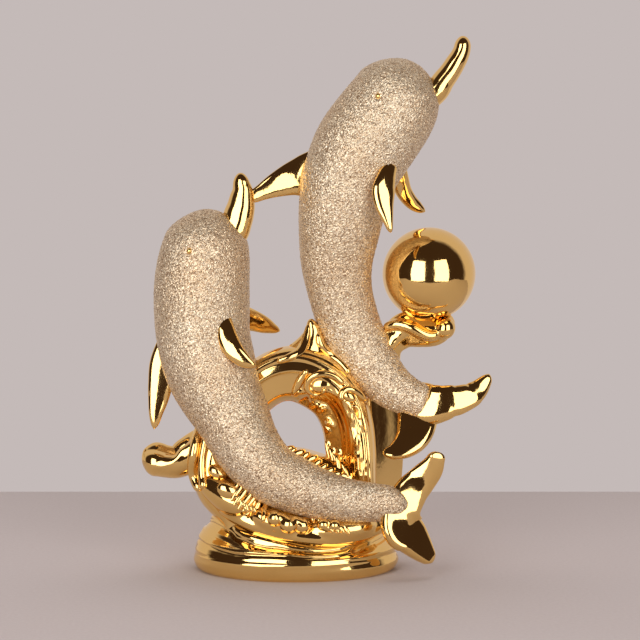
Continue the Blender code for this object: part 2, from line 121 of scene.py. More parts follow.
# %% Colours
def linear(code):
    """An sRGB hex colour as linear RGBA."""
    parts = [int(code[k : k + 2], 16) / 255 for k in (1, 3, 5)]
    return (*[p / 12.92 if p <= 0.04045 else ((p + 0.055) / 1.055) ** 2.4 for p in parts], 1.0)


def add(tree, kind, settings=None):
    """Adds a node and sets its properties and sockets. A socket given as (node, output) is linked."""
    node = tree.nodes.new(kind)
    for key, value in (settings or {}).items():
        if isinstance(value, tuple) and isinstance(value[0], bpy.types.Node):
            tree.links.new(value[0].outputs[value[1]], node.inputs[key])
        elif isinstance(key, str) and hasattr(node, key):
            setattr(node, key, value)
        else:
            node.inputs[key].default_value = value
    return node

# %% The world: dark in front, pale behind, and a plain wall for the camera
world = bpy.data.worlds.new("studio")
bpy.context.scene.world = world
world.use_nodes = True
sky = world.node_tree
sky.nodes.clear()
direction = add(sky, "ShaderNodeTexCoord")
parts = add(sky, "ShaderNodeSeparateXYZ", {0: (direction, "Generated")})
behind = add(sky, "ShaderNodeMapRange", {
    "interpolation_type": "SMOOTHSTEP", "From Min": -0.02, "From Max": 0.22, "Value": (parts, "Y"),
})
studio = add(sky, "ShaderNodeMix", {
    "data_type": "RGBA", 0: (behind, 0), 6: linear("#3D2F27"), 7: linear("#D3C8C4"),
})
rays = add(sky, "ShaderNodeLightPath")
seen = add(sky, "ShaderNodeMix", {
    "data_type": "RGBA", 0: (rays, "Is Camera Ray"), 6: (studio, 2), 7: linear("#C4BAB8"),
})
glow = add(sky, "ShaderNodeBackground", {"Strength": 1.0, "Color": (seen, 2)})
add(sky, "ShaderNodeOutputWorld", {"Surface": (glow, 0)})

# %% Two soft boxes and an overhead fill
LAMP_COLOUR = (1.0, 1.0, 1.02)
BOX_WIDE, BOX_TALL, BOX_DISTANCE, BOX_HEIGHT = 0.95, 1.45, 1.5, 0.50


def panel(name, wide, tall, radiance, place, turn):
    """A rectangular lamp that the camera doesn't see. Sizes are in metres."""
    lamp = bpy.data.objects.new(name, bpy.data.lights.new(name, "AREA"))
    bpy.context.scene.collection.objects.link(lamp)
    lamp.data.shape = "RECTANGLE"
    lamp.data.size, lamp.data.size_y = wide, tall
    lamp.data.energy = radiance * math.pi * wide * tall
    lamp.data.color = LAMP_COLOUR
    lamp.visible_camera = False
    lamp.location, lamp.rotation_euler = place, turn
    return lamp


# Azimuth 0 is the camera's side, and right is positive
for name, azimuth, radiance in (("left_soft_box", -28, 3.6), ("right_soft_box", 31, 2.9)):
    turn = math.radians(azimuth)
    out = Vector((math.sin(turn), -math.cos(turn), 0)) * BOX_DISTANCE
    aim = (-out).to_track_quat("-Z", "Y").to_euler()
    panel(name, BOX_WIDE, BOX_TALL, radiance, out + Vector((0, 0, BOX_HEIGHT)), aim)
overhead = panel("overhead_fill", 1.2, 1.2, 2.0, (0.0, 0.2, 1.7), (0.0, 0.0, 0.0))
overhead.visible_glossy = False

# %% [markdown]
# ## Materials
#
# **Bright gold plating** is a real metal film over a smooth glaze. It is fully metallic and almost without
# roughness. What makes it look like fired ceramic, and not like machined brass, is a soft unevenness: slow
# waves where the glaze ran, and a faint orange peel, so the edges of every reflection wander.

# %% Gold plating
def material(name):
    """A material, its emptied node tree, and a new coordinate node in it."""
    made = bpy.data.materials.new(name)
    made.use_nodes = True
    made.node_tree.nodes.clear()
    return made, made.node_tree, add(made.node_tree, "ShaderNodeTexCoord")


def per_metre(size):
    """A texture's scale for features of this size, in metres."""
    return 1.0 / size


gold_plate, tree, place = material("bright_gold_plating")
# Noises by the size of their features, in metres, and their detail
tone, smears, runs, peel = (
    add(tree, "ShaderNodeTexNoise", {"Scale": per_metre(size), "Detail": detail, "Vector": (place, "Object")})
    for size, detail in ((0.022, 2.0), (0.012, 3.0), (0.0055, 1.0), (0.0019, 1.0))
)
gold_colour = add(tree, "ShaderNodeMix", {
    "data_type": "RGBA", 0: (tone, 0), 6: linear("#F4C97A"), 7: linear("#FAD389"),
})
shine = add(tree, "ShaderNodeMapRange", {
    "From Min": 0.3, "From Max": 0.75, "To Min": 0.035, "To Max": 0.11, "Value": (smears, 0),
})
wave_bump = add(tree, "ShaderNodeBump", {"Strength": 0.35, "Distance": 0.00016, "Height": (runs, 0)})
peel_bump = add(tree, "ShaderNodeBump", {
    "Strength": 0.4, "Distance": 0.00005, "Height": (peel, 0), "Normal": (wave_bump, 0),
})
gold_shader = add(tree, "ShaderNodeBsdfPrincipled", {
    "Metallic": 1.0, "Base Color": (gold_colour, 2), "Roughness": (shine, 0), "Normal": (peel_bump, 0),
})
add(tree, "ShaderNodeOutputMaterial", {"Surface": (gold_shader, 0)})

# %% [markdown]
# ** The sand coat** is crushed glass and mica in clear glue. Each grain is a small mirror that points its own
# way, so the skin sparkles: a few grains send the lamp straight to the eye and the rest stay dull. The grains
# are real facets in the mesh, about a millimetre wide. The material gives each grain its own tint and tilts
# it a little more, which a mesh of this size can't carry. It also darkens each grain towards its edge, which
# is painted shade in the gaps between the grains.

# %% Sand coat
sand_coat, tree, place = material("glitter_sand")
grains = add(tree, "ShaderNodeTexVoronoi", {
    "feature": "F1", "Scale": per_metre(GRAIN * 0.62), "Randomness": 0.95, "Vector": (place, "Object"),
})
tint = add(tree, "ShaderNodeSeparateColor", {0: (grains, "Color")})
drift = add(tree, "ShaderNodeTexNoise", {
    "Scale": per_metre(0.03), "Detail": 2.0, "Vector": (place, "Object"),
})
ramp = add(tree, "ShaderNodeValToRGB", {0: (tint, "Red")})
stops = ramp.color_ramp.elements
stops[0].color, stops[1].color = linear("#A88C6E"), linear("#FDF1D8")
for position, code in ((0.20, "#D6BB98"), (0.42, "#F8E6C4")):
    stops.new(position).color = linear(code)
# Painted shade: each grain turns dark brown towards its edge, as if the gaps between the grains lay in shade
gap_shade = add(tree, "ShaderNodeMapRange", {
    "From Min": 0.38, "From Max": 0.72, "To Max": 0.45, "Value": (grains, "Distance"),
})
shaded = add(tree, "ShaderNodeMix", {"data_type": "RGBA", 0: (gap_shade, 0), 6: (ramp, 0), 7: linear("#6E5443")})
sand_colour = add(tree, "ShaderNodeMix", {
    "data_type": "RGBA", "blend_type": "MULTIPLY", 0: (drift, 0), 6: (shaded, 2), 7: linear("#F2E2D2"),
})
centred = add(tree, "ShaderNodeVectorMath", {
    "operation": "SUBTRACT", 0: (grains, "Color"), 1: (0.5, 0.5, 0.5),
})
tilt = add(tree, "ShaderNodeVectorMath", {"operation": "SCALE", 0: (centred, 0), "Scale": 0.40})
surface = add(tree, "ShaderNodeNewGeometry")
tilted = add(tree, "ShaderNodeVectorMath", {"operation": "ADD", 0: (surface, "Normal"), 1: (tilt, 0)})
facing = add(tree, "ShaderNodeVectorMath", {"operation": "NORMALIZE", 0: (tilted, 0)})
gloss = add(tree, "ShaderNodeMapRange", {"To Min": 0.32, "To Max": 0.5, "Value": (tint, "Green")})
sand_shader = add(tree, "ShaderNodeBsdfPrincipled", {
    "Metallic": 0.70, "Base Color": (sand_colour, 2), "Roughness": (gloss, 0), "Normal": (facing, 0),
})
add(tree, "ShaderNodeOutputMaterial", {"Surface": (sand_shader, 0)})
print("materials:", gold_plate.name, "and", sand_coat.name)

# %% [markdown]
# ## Skins over a path
#
# Every form on this figurine is a limb: a body, a fin, a strand of water. Each is made the same way, as a
# skin over rings that follow a smooth path. The path runs through a short table of places and half widths.

# %% Curves and rings
def spline(rows, at):
    """Rows at parameters from 0 to 1 on a smooth curve through the rows."""
    rows = np.asarray(rows, float)
    last = len(rows) - 1
    t = np.clip(at, 0, 1) * last
    i = np.minimum(t.astype(int), last - 1)
    f = (t - i)[:, None]
    p, q, r, s = (rows[np.clip(i + k, 0, last)] for k in (-1, 0, 1, 2))
    return 0.5 * (2 * q + (r - p) * f + (2 * p - 5 * q + 4 * r - s) * f**2 + (3 * q - p - 3 * r + s) * f**3)


def distances(points):
    """The distance run along a line, at each of its points."""
    return np.concatenate([[0], np.cumsum(np.linalg.norm(np.diff(points, axis=0), axis=1))])


def path(rows, count, crowd=0.0):
    """Rows evenly spaced along the curve. `crowd`, up to 1, moves them towards both ends."""
    fine = np.linspace(0, 1, 60 * len(rows) + 1)
    run = distances(spline(rows, fine)[:, :3])
    t = np.linspace(0, 1, count)
    t = t - crowd * np.sin(2 * np.pi * t) / (2 * np.pi)
    return spline(rows, np.interp(t * run[-1], run, fine)), t * run[-1], run[-1]


def unit(vectors):
    return vectors / np.maximum(np.linalg.norm(vectors, axis=-1, keepdims=True), 1e-12)


def rings(rows, sides, section, face=TO_VIEWER, turn=0.0):
    """Rings of points across a path of (x, y, z, half width, half depth), in metres."""
    centre, wide, deep = rows[:, :3], rows[:, 3:4], rows[:, 4:5]
    along = unit(np.gradient(centre, axis=0))
    side = unit(np.cross(along, face))
    out = unit(np.cross(side, along))
    angle = np.broadcast_to(2 * np.pi * np.arange(sides) / sides, (len(rows), sides))
    part = np.linspace(0, 1, len(rows))[:, None]
    u, v = section(angle, part)
    if turn:
        wound = turn * part
        u, v = u * np.cos(wound) - v * np.sin(wound), u * np.sin(wound) + v * np.cos(wound)
    return centre[:, None] + side[:, None] * (wide * u)[..., None] + out[:, None] * (deep * v)[..., None]


def bump(x, middle, width):
    """A smooth hill of height 1."""
    return np.exp(-(((x - middle) / width) ** 2))


def ease(x, start, end):
    """A smooth step from 0 to 1."""
    t = np.clip((x - start) / (end - start), 0, 1)
    return t * t * (3 - 2 * t)


def sausage(u, middle, width):
    """A round-topped roll of height 1, with steep sides."""
    return np.maximum(0.0, 1 - ((u - middle) / width) ** 2) ** 0.7

# %% From rings to a closed mesh
def mesh_object(name, points, faces, finish, smooth=True):
    mesh = bpy.data.meshes.new(name)
    mesh.from_pydata(points, [], faces)
    mesh.materials.append(finish)
    mesh.polygons.foreach_set("use_smooth", np.full(len(mesh.polygons), smooth))
    mesh.update()
    made = bpy.data.objects.new(name, mesh)
    bpy.context.scene.collection.objects.link(made)
    return made


def skin(name, grid, finish=gold_plate):
    """A closed skin over a grid of rings, with a pole at each end and its faces turned outwards."""
    count, sides = grid.shape[:2]
    points = np.concatenate([grid.reshape(-1, 3), grid[:1].mean(axis=1), grid[-1:].mean(axis=1)])
    n = np.arange(sides)
    m = (n + 1) % sides
    rows = np.arange(count - 1)[:, None] * sides
    quads = np.stack([rows + n, rows + m, rows + sides + m, rows + sides + n], axis=-1).reshape(-1, 4)
    first, last = count * sides, count * sides + 1
    start = np.stack([m, n, np.full(sides, first)], axis=-1)
    end = np.stack([(count - 1) * sides + n, (count - 1) * sides + m, np.full(sides, last)], axis=-1)
    faces = quads.tolist() + start.tolist() + end.tolist()
    a, b, c, d = (points[quads[:, k]] for k in range(4))
    if np.sum(a * np.cross(b - d, c)) < 0:  # the skin's volume, times six
        faces = [face[::-1] for face in faces]
    return mesh_object(name, points.tolist(), faces, finish)


def merged(pieces):
    """The points and the faces of several skins, as one list each."""
    points, faces = [], []
    for piece in pieces:
        start = len(points)
        points += [vert.co[:] for vert in piece.data.vertices]
        faces += [[start + v for v in polygon.vertices] for polygon in piece.data.polygons]
    return points, faces


def gather(name, pieces, finish=gold_plate):
    """Several closed skins in one object."""
    points, faces = merged(pieces)
    for piece in pieces:
        bpy.data.objects.remove(piece)
    return mesh_object(name, points, faces, finish)

# %% From a table to a limb
SLIMMEST = 0.2  # no half width is less, in hundredths


def rounded_ends(rows, run, length, first, last):
    """Shrinks the rings near each end, so that the form closes as a dome over these lengths."""
    reach = np.ones(len(rows))
    for away, cap in ((run, first), (length - run, last)):
        if cap:
            near = away < cap
            reach[near] *= np.sqrt(np.maximum(0, 1 - (1 - away[near] / cap) ** 2))
    rows[:, 3:5] *= np.maximum(reach, 0.004)[:, None]
    return rows


def stations(rows, count, crowd, first, last, depth=None):
    """Ring rows in metres along a table in hundredths, closed as domes over the lengths `first` and `last`.

    Where the table has no half depths, `depth` gives them from the half width and the part of the way along.
    """
    found, run, length = path(rows, count, crowd)
    if depth:
        wide = np.maximum(found[:, 3], SLIMMEST)
        found = np.column_stack([found[:, :3], wide, depth(wide, run / length)])
    return rounded_ends(share(found), share(run), share(length), share(first), share(last))


def oval(angle, _along):
    return np.cos(angle), np.sin(angle)


def stem(name, rows, count, sides, section=oval, crowd=0.3, first=0, last=0):
    """A limb of the wave, from a table of places, half widths and half depths."""
    return skin(name, rings(stations(rows, count, crowd, first, last), sides, section))

# %% [markdown]
# ## Fusing forms
#
# In the clay the forms flow into each other with soft fillets, and the glaze fills every corner. A voxel
# remesh turns overlapping skins into one skin, and a few rounds of smoothing give the fillets.

# %% Voxel remesh and smoothing
def triangles(thing):
    return sum(len(polygon.vertices) - 2 for polygon in thing.data.polygons)


def baked(thing):
    """Gives an object the mesh that its modifiers make, as a plain mesh, and takes them off."""
    bpy.context.view_layer.update()
    graph = bpy.context.evaluated_depsgraph_get()
    mesh = bpy.data.meshes.new_from_object(thing.evaluated_get(graph))
    thing.modifiers.clear()
    thing.data = mesh
    return thing


def fuse(name, pieces, voxel, rounds, finish=gold_plate):
    """One closed skin round the pieces. `rounds` is how many times it is smoothed."""
    whole = gather(name, pieces, finish)
    remesh = whole.modifiers.new("remesh", "REMESH")
    remesh.mode = "VOXEL"
    remesh.voxel_size = voxel
    remesh.use_smooth_shade = True
    whole.modifiers.new("soften", "SMOOTH").iterations = rounds
    baked(whole)
    whole.data.materials.clear()
    whole.data.materials.append(finish)
    print(f"{name}: {triangles(whole)} triangles")
    return whole

# %% [markdown]
# ## Growing things with Geometry Nodes
#
# Two things on this figurine repeat: the grains of the sand coat, and the little tongues of foam. Each is a
# small Geometry Nodes tree with named inputs, so a size can be changed without touching the mesh. The tree's
# result is turned into a plain mesh at the end, because that is what travels to other programs.

# %% Running a node tree on a mesh
def node_tree(name, inputs):
    """A Geometry Nodes tree with a geometry input and output, and these named inputs: {name: socket type}."""
    tree = bpy.data.node_groups.new(name, "GeometryNodeTree")
    tree.interface.new_socket(name="Geometry", in_out="INPUT", socket_type="NodeSocketGeometry")
    tree.interface.new_socket(name="Geometry", in_out="OUTPUT", socket_type="NodeSocketGeometry")
    for label, kind in inputs.items():
        tree.interface.new_socket(name=label, in_out="INPUT", socket_type=kind)
    return tree, add(tree, "NodeGroupInput")


def end_tree(tree, geometry, smooth, finish):
    """Ends a tree: plain geometry, shaded smooth or flat, in one material."""
    real = add(tree, "GeometryNodeRealizeInstances", {"Geometry": (geometry, 0)})
    shaded = add(tree, "GeometryNodeSetShadeSmooth", {"Shade Smooth": smooth, "Geometry": (real, 0)})
    coated = add(tree, "GeometryNodeSetMaterial", {"Material": finish, "Geometry": (shaded, 0)})
    add(tree, "NodeGroupOutput", {"Geometry": (coated, 0)})


def grow(thing, tree, values):
    """Runs the tree on an object with these input values, and keeps the result as the object's plain mesh."""
    modifier = thing.modifiers.new(tree.name, "NODES")
    modifier.node_group = tree
    for socket in tree.interface.items_tree:
        if socket.in_out == "INPUT" and socket.name in values:
            modifier[socket.identifier] = values[socket.name]
    return baked(thing)

# %% [markdown]
# The sand tree moves every point of a fine, even mesh by a random part of a grain, mostly along the normal,
# and leaves the faces flat. So each grain becomes a little facet, and the outline turns slightly rough.

# %% Sand tree
FLOAT, INT = "NodeSocketFloat", "NodeSocketInt"
sand_tree, given = node_tree("sand_coat_grains", {
    "Grain": FLOAT, "Rise": FLOAT, "Jostle": FLOAT, "Seed": INT,
})
tree = sand_tree
outward = add(tree, "GeometryNodeInputNormal")
rise = add(tree, "FunctionNodeRandomValue", {"data_type": "FLOAT", 2: -1.0, 3: 1.0, "Seed": (given, "Seed")})
tall, wide = (
    add(tree, "ShaderNodeMath", {"operation": "MULTIPLY", 0: (given, "Grain"), 1: (given, part)})
    for part in ("Rise", "Jostle")
)
lift = add(tree, "ShaderNodeMath", {"operation": "MULTIPLY", 0: (rise, 1), 1: (tall, 0)})
lifted = add(tree, "ShaderNodeVectorMath", {"operation": "SCALE", 0: (outward, "Normal"), "Scale": (lift, 0)})
other_seed = add(tree, "ShaderNodeMath", {"operation": "ADD", 0: (given, "Seed"), 1: 7.0})
push = add(tree, "FunctionNodeRandomValue", {
    "data_type": "FLOAT_VECTOR", 0: (-1, -1, -1), 1: (1, 1, 1), "Seed": (other_seed, 0),
})
pushed = add(tree, "ShaderNodeVectorMath", {"operation": "SCALE", 0: (push, 0), "Scale": (wide, 0)})
moved = add(tree, "ShaderNodeVectorMath", {"operation": "ADD", 0: (lifted, 0), 1: (pushed, 0)})
placed = add(tree, "GeometryNodeSetPosition", {"Geometry": (given, "Geometry"), "Offset": (moved, 0)})
end_tree(tree, placed, False, sand_coat)
print("sand tree:", len(tree.nodes), "nodes")

# %% [markdown]
# ## The bodies
#
# A dolphin's body is a spindle: blunt and round at the head, thickest at the shoulders, and narrowing to a
# flat tail stock. The rings carry that. The sand needs points at even distances, so each body is remeshed
# and every point is then pushed out or in by a random fraction of a grain, with flat faces.

# %% Tables of the two bodies: X, Y, Z and half width, in hundredths of the height
UPPER_BODY = (
    (21.9, 0.3, 95.6, 6.4), (19.4, 0.3, 90.4, 8.1), (17.3, 0.3, 86.4, 8.9), (12.8, 0.6, 80, 9.2),
    (10.4, 0.8, 75.2, 8.8), (8.9, 1, 69.6, 8.3), (8.1, 1.3, 63.8, 7.6), (7.7, 1.7, 58.2, 6.8),
    (8.3, 2, 52.8, 6.1), (9.5, 2.3, 48.2, 5.9), (11.2, 2.3, 43.8, 5.7), (13.8, 1.7, 39.4, 5.3),
    (17.2, 0.3, 35.5, 4.5), (20.6, -1.3, 33.3, 3.8), (24.9, -3, 31.7, 3.1),
)
LOWER_BODY = (
    (-15.8, 0, 68.2, 5.6), (-16.3, 0, 64.6, 7.2), (-17, 0, 60, 8.4), (-17.6, 0, 55, 8.9),
    (-17.7, -0.3, 49.8, 9), (-17.4, -1, 44.4, 8.8), (-16.3, -1.7, 39.4, 8.7), (-14.5, -2.7, 34.8, 8.1),
    (-12, -4.3, 30, 7.1), (-9.1, -6.3, 24.5, 6.3), (-5, -8, 19.9, 5.7), (0.3, -9, 17.3, 5.2),
    (5.5, -9.3, 15.5, 4.6), (10.3, -9.4, 14.6, 4), (14.6, -9.6, 14.3, 3.6), (17.6, -10, 14.2, 3.3),
    (19.4, -10.3, 14.1, 2.2), (20.9, -10.5, 14, 1),
)
HEAD_CAP, TAIL_CAP = 6.1, 1.5
HEAD_DEPTH, TAIL_DEPTH = 0.92, 0.62  # half depths as shares of the half widths
FLATTENS_AT = 0.45  # the part of the way along at which a body starts to flatten
EYE_DENT, EYE_DENT_DEPTH = 0.0026, 0.0011

# %% Bodies
def body_depth(wide, part):
    flatter = np.maximum(0.0, part - FLATTENS_AT) / (1 - FLATTENS_AT)
    return wide * (HEAD_DEPTH + (TAIL_DEPTH - HEAD_DEPTH) * flatter)


def eye_places(rows, at, turn):
    """The middle of the near and of the far eye on the skin, each with the direction out of it."""
    before, here, after = spline(rows, np.array([at - 0.01, at, at + 0.01]))
    side = unit(np.cross(unit((after - before)[:3]), TO_VIEWER))
    places = []
    for y in (-1.0, 1.0):
        out = np.array([0, y, 0])
        offset = share(here[3]) * (side * math.sin(turn) + out * HEAD_DEPTH * math.cos(turn))
        places.append((share(here[:3]) + offset, unit(offset)))
    return places


EYES = {"upper": eye_places(UPPER_BODY, 0.1255, 0.393), "lower": eye_places(LOWER_BODY, 0.113, 0.33)}


def sanded_body(name, rows, eyes, seed):
    """A body with a coat of grains, and a shallow dent round each eye."""
    found = stations(rows, 150, 0.7, HEAD_CAP, TAIL_CAP, body_depth)
    core = skin(name + "_core", rings(found, 96, oval), sand_coat)
    made = fuse(name, [core], SAND_VOXEL, 2, sand_coat)
    vertices = made.data.vertices
    points = np.empty(len(vertices) * 3, np.float32)
    normals = np.empty_like(points)
    vertices.foreach_get("co", points)
    vertices.foreach_get("normal", normals)
    points, normals = points.reshape(-1, 3), normals.reshape(-1, 3)
    for place, _ in eyes:
        away = np.linalg.norm(points - place, axis=1)
        points -= normals * (np.clip(1 - away / EYE_DENT, 0, 1) * EYE_DENT_DEPTH)[:, None]
    vertices.foreach_set("co", points.ravel())
    made.data.update()
    return grow(made, sand_tree, {"Grain": GRAIN, "Rise": 0.13, "Jostle": 0.10, "Seed": seed})


upper_body = sanded_body("upper_body_sand", UPPER_BODY, EYES["upper"], 11)
lower_body = sanded_body("lower_body_sand", LOWER_BODY, EYES["lower"], 12)
sand_pieces = [upper_body, lower_body]
gold_pieces = []

# %% [markdown]
# ## Eyes
#
# Each eye is a small gold bead that was kept free of glue, so the sand stands round it like a rim.

# %% Eye beads
t = np.linspace(0, np.pi, 24)
for owner, places in EYES.items():
    for number, (place, out) in enumerate(places):
        centres = place - np.outer(EYE_RADIUS * (0.55 + np.cos(t)), out)
        half = EYE_RADIUS * np.sin(t)
        rows = np.column_stack([centres, half + 1e-6, half * 1.15 + 1e-6])
        gold_pieces.append(skin(f"{owner}_eye_{number}", rings(rows, 28, oval, (0, 0, 1))))
print("eyes:", len(gold_pieces))

# %% [markdown]
# ## Beaks
#
# A beak is a horn that curls up, with the mouth line as a groove along each side. It is left in bright gold.

# %% Beaks
UPPER_BEAK = (
    (21.4, 0.3, 86.6, 2.7), (23.4, 0.3, 87.9, 2.6), (25.2, 0.3, 89.3, 2.4), (26.5, 0.3, 90.6, 2.35),
    (27.5, 0.3, 92.1, 2.15), (28.7, 0.3, 93.7, 2), (29.7, 0.3, 95.3, 1.9), (30.5, 0.3, 96.7, 1.75),
    (31, 0.3, 98.1, 1.6), (31.2, 0.3, 100.4, 1.4),
)
LOWER_BEAK = (
    (-13.8, 0, 61.8, 3.2), (-12.7, 0, 62.9, 3.1), (-11.6, 0, 64.3, 3), (-11.1, 0, 65.6, 2.9),
    (-10.7, 0, 67.1, 2.9), (-10.3, 0, 68.6, 2.7), (-10.1, 0, 70.2, 2.4), (-10, 0, 71.7, 2),
    (-10.2, 0, 73.1, 1.6), (-10.4, 0, 75, 1.3),
)


def jaws(angle, along):
    """A round section with the mouth line as a shallow groove on the near and the far side."""
    line = bump(np.abs(np.sin(angle)), 1, 0.03) * np.clip(1.1 - along, 0, 1)
    return np.cos(angle), np.sin(angle) * (1 - 0.04 * line)


def beak(name, rows, deep, face):
    """A horn that closes as a dome. `deep` is its half depth as a share of its half width."""
    found = stations(rows, 100, 0.6, 0, 1.9, lambda wide, _part: wide * deep)
    return skin(name, rings(found, 72, jaws, unit(face)))


gold_pieces += [
    beak("upper_beak", UPPER_BEAK, 1.1, TO_VIEWER),
    beak("lower_beak", LOWER_BEAK, 0.85, (-0.3, -1, 0.1)),
]

# %% [markdown]
# ## Fins and flukes
#
# A fin is a plate with a thick rounded rim and a nearly flat face. That section shows in the reflections: the
# face mirrors the dark studio or a whole soft box, and the rim draws a thin tan line of table round it.

# %% Tables of the fins: the way that the face looks, then X, Y, Z and half width
FINS = {
    "upper_dorsal_fin": ((0.16, -1, -0.05), (
        (4, 2.3, 75, 4.4), (1.3, 1.8, 74.3, 3.9), (-1.1, 1.4, 73.7, 3.1), (-3.9, 0.8, 72.6, 2.3),
        (-6.3, 0.4, 71.4, 1.6), (-8, 0.1, 70.5, 1.2), (-8.9, 0, 70.1, 0.6),
    )),
    "lower_dorsal_fin": ((0, -1, 0), (
        (-22.3, -1.2, 42.8, 3.8), (-24.4, -1.6, 39.2, 3.1), (-25.4, -1.9, 35.4, 2.4),
        (-25.9, -2, 32.4, 1.9), (-26.3, -2.2, 30.2, 1.4), (-26.5, -2.3, 28.3, 0.9),
        (-26.7, -2.3, 26.9, 0.3),
    )),
    "upper_near_pectoral": ((0.25, -1, -0.2), (
        (17.6, -5, 76.8, 1.4), (16.7, -6.6, 74.1, 1.9), (16.2, -7.5, 71.8, 2.2), (16.3, -8.1, 69.4, 1.8),
        (16.8, -8.5, 67.2, 1.2), (17.5, -8.7, 64.2, 0.4),
    )),
    "upper_far_pectoral": ((-0.2, -1, 0.1), (
        (18.8, 3.6, 76.2, 2), (19.6, 5.3, 73.7, 1.8), (20.4, 6.4, 71.5, 1.6), (21.7, 7.4, 69.6, 1.4),
        (23.2, 8.1, 68.3, 1.1), (24.7, 8.6, 67.4, 0.4),
    )),
    "lower_near_pectoral": ((0.2, -1, -0.2), (
        (-13.4, -5.6, 49.4, 1.2), (-13, -7.3, 47, 1.6), (-12.4, -8.2, 44.6, 1.9), (-11.2, -9, 42.4, 1.8),
        (-9.2, -9.4, 40.6, 1.3), (-7.2, -9.6, 39.7, 0.4),
    )),
    "lower_far_pectoral": ((-0.2, -1, 0.1), (
        (-12.4, 3.4, 48.2, 2.6), (-10, 5, 47.2, 2.4), (-8, 6.3, 46.5, 2), (-6, 7.4, 45.6, 1.6),
        (-4.5, 8.3, 44.9, 1), (-3.2, 8.9, 44.4, 0.4),
    )),
}
UPPER_FLUKE_RIGHT = (
    (20.6, 1.2, 33.2, 3.2), (23, -1.5, 32.2, 3.8), (25.2, -2.9, 31.7, 3.85), (27.4, -3.4, 32, 3.45),
    (29, -3.45, 32.4, 3.05), (30.4, -3.35, 32.6, 2.8), (32.6, -2.75, 33.3, 2.4), (33.6, -2.25, 33.9, 2.15),
    (34.6, -1.7, 34.7, 1.8), (35.8, -1.2, 36.1, 1.2), (36.4, -1, 37.2, 0.6),
)
UPPER_FLUKE_LEFT = (
    (22.8, 0.8, 33.6, 3), (22.9, -1, 31, 3.7), (22.8, -2.8, 28.4, 3.7), (22, -4.3, 26, 3.3),
    (20.4, -5.4, 24.3, 2.6), (18.4, -6.1, 23.3, 1.7), (16.2, -6.3, 23, 0.6),
)
# The lower fluke runs from tip to tip in one sweep
LOWER_FLUKE = (
    (26.2, -9.4, 23.8, 1.5), (25.9, -9.2, 22.3, 1.75), (25, -8.9, 20.4, 2.35), (23.2, -8.7, 18.2, 2.8),
    (21.3, -8.9, 16, 3.2), (19.7, -9.7, 12.9, 3.6), (19.8, -10.1, 9.9, 4.4), (21.5, -9.8, 7.9, 3.8),
    (23.1, -9.5, 5.9, 2.9), (24.5, -9.2, 4.2, 1.9), (25.5, -9, 3, 1),
)

# %% Plates with a rim
def rimmed(angle, _along, flat=2.8):
    """A plate's section: a gently crowned face that turns over a thick round rim."""
    u = np.sign(np.cos(angle)) * np.abs(np.cos(angle)) ** 0.85
    face = np.maximum(0.0, 1 - np.abs(u) ** flat) ** 0.55
    return u, np.sign(np.sin(angle)) * face


def flat_faced(angle, along):
    return rimmed(angle, along, 5.0)


def plate_rows(rows, thickness, count, crowd, caps, slim=0.34, gain=1.0):
    """Stations of a plate: its full thickness in metres where it is wide, and `slim` of that where narrow."""
    widest = max(row[3] for row in rows)
    half = thickness / 2 / share(1)
    return stations(
        rows, count, crowd, *caps,
        lambda wide, _part: half * (slim + (1 - slim) * np.minimum(1.0, gain * wide / widest)),
    )


def plate(name, rows, thickness, face, section=rimmed, count=84, sides=56):
    return skin(name, rings(plate_rows(rows, thickness, count, 0.7, (0.6, 0.9)), sides, section, face))


for name, (face, rows) in FINS.items():
    gold_pieces.append(plate(name, rows, FIN_THICKNESS, face))

# %% Flukes
def ridged(angle, along):
    """A fluke's section. Near the first tip a ridge runs along the face, and the skin falls away past it."""
    u, v = rimmed(angle, along, 3.6 + 5.4 * ease(along, 0.42, 0.60))
    ridge = np.interp(along, (0, 0.17, 0.42), (0.9, 0.05, -0.85))
    fall = np.maximum(0.0, ridge - u) * 0.42 + np.maximum(0.0, u - ridge) ** 2 * 0.18
    strength = 1 - ease(along, 0.32, 0.43)
    return u, np.where(v > 0, v * (1 - fall * strength), v)


FACE_STOPS = (0.0, 0.39, 0.49, 0.62, 1.0)


def fluke(name, rows, faces):
    """One sweep from tip to tip. Its face turns through these directions, at FACE_STOPS along the sweep."""
    found = plate_rows(rows, FLUKE_THICKNESS, 150, 0.6, (1.1, 1.1), 0.36, 1.2)
    t = np.linspace(0, 1, len(found))
    turned = np.column_stack([np.interp(t, FACE_STOPS, [face[k] for face in faces]) for k in range(3)])
    for _ in range(8):
        turned = (turned + np.concatenate([turned[:1], turned[:-1]])) / 2
    return skin(name, rings(found, 84, ridged, turned))


gold_pieces.append(gather("upper_fluke", [
    plate("upper_fluke_left", UPPER_FLUKE_LEFT, FLUKE_THICKNESS, (0, -1, 0.7), flat_faced, 110, 72),
    plate("upper_fluke_right", UPPER_FLUKE_RIGHT, FLUKE_THICKNESS, (0, -1, 0.2), rimmed, 120, 72),
]))
gold_pieces.append(fluke("lower_fluke", LOWER_FLUKE, (
    (0, -1, 0), (0, -1, 0.05), (0.28, -1, 0.25), (0.8, -1, 0.38), (0.8, -1, 0.38),
)))
print("flukes:", [triangles(piece) for piece in gold_pieces[-2:]], "triangles")

# %% [markdown]
# ## The wave ring
#
# The wave curls right round, like a breaker seen from its end. Its face isn't the same all over. On the right
# it falls from three flat strands into the hole like a funnel, with grooves between the strands and a rough,
# dripping lip. From the top on, the strands stand higher, next to a smooth hollow trough. So the section is
# drawn as a profile across the face, from the hole's edge to the outer edge, and changes along the ring.

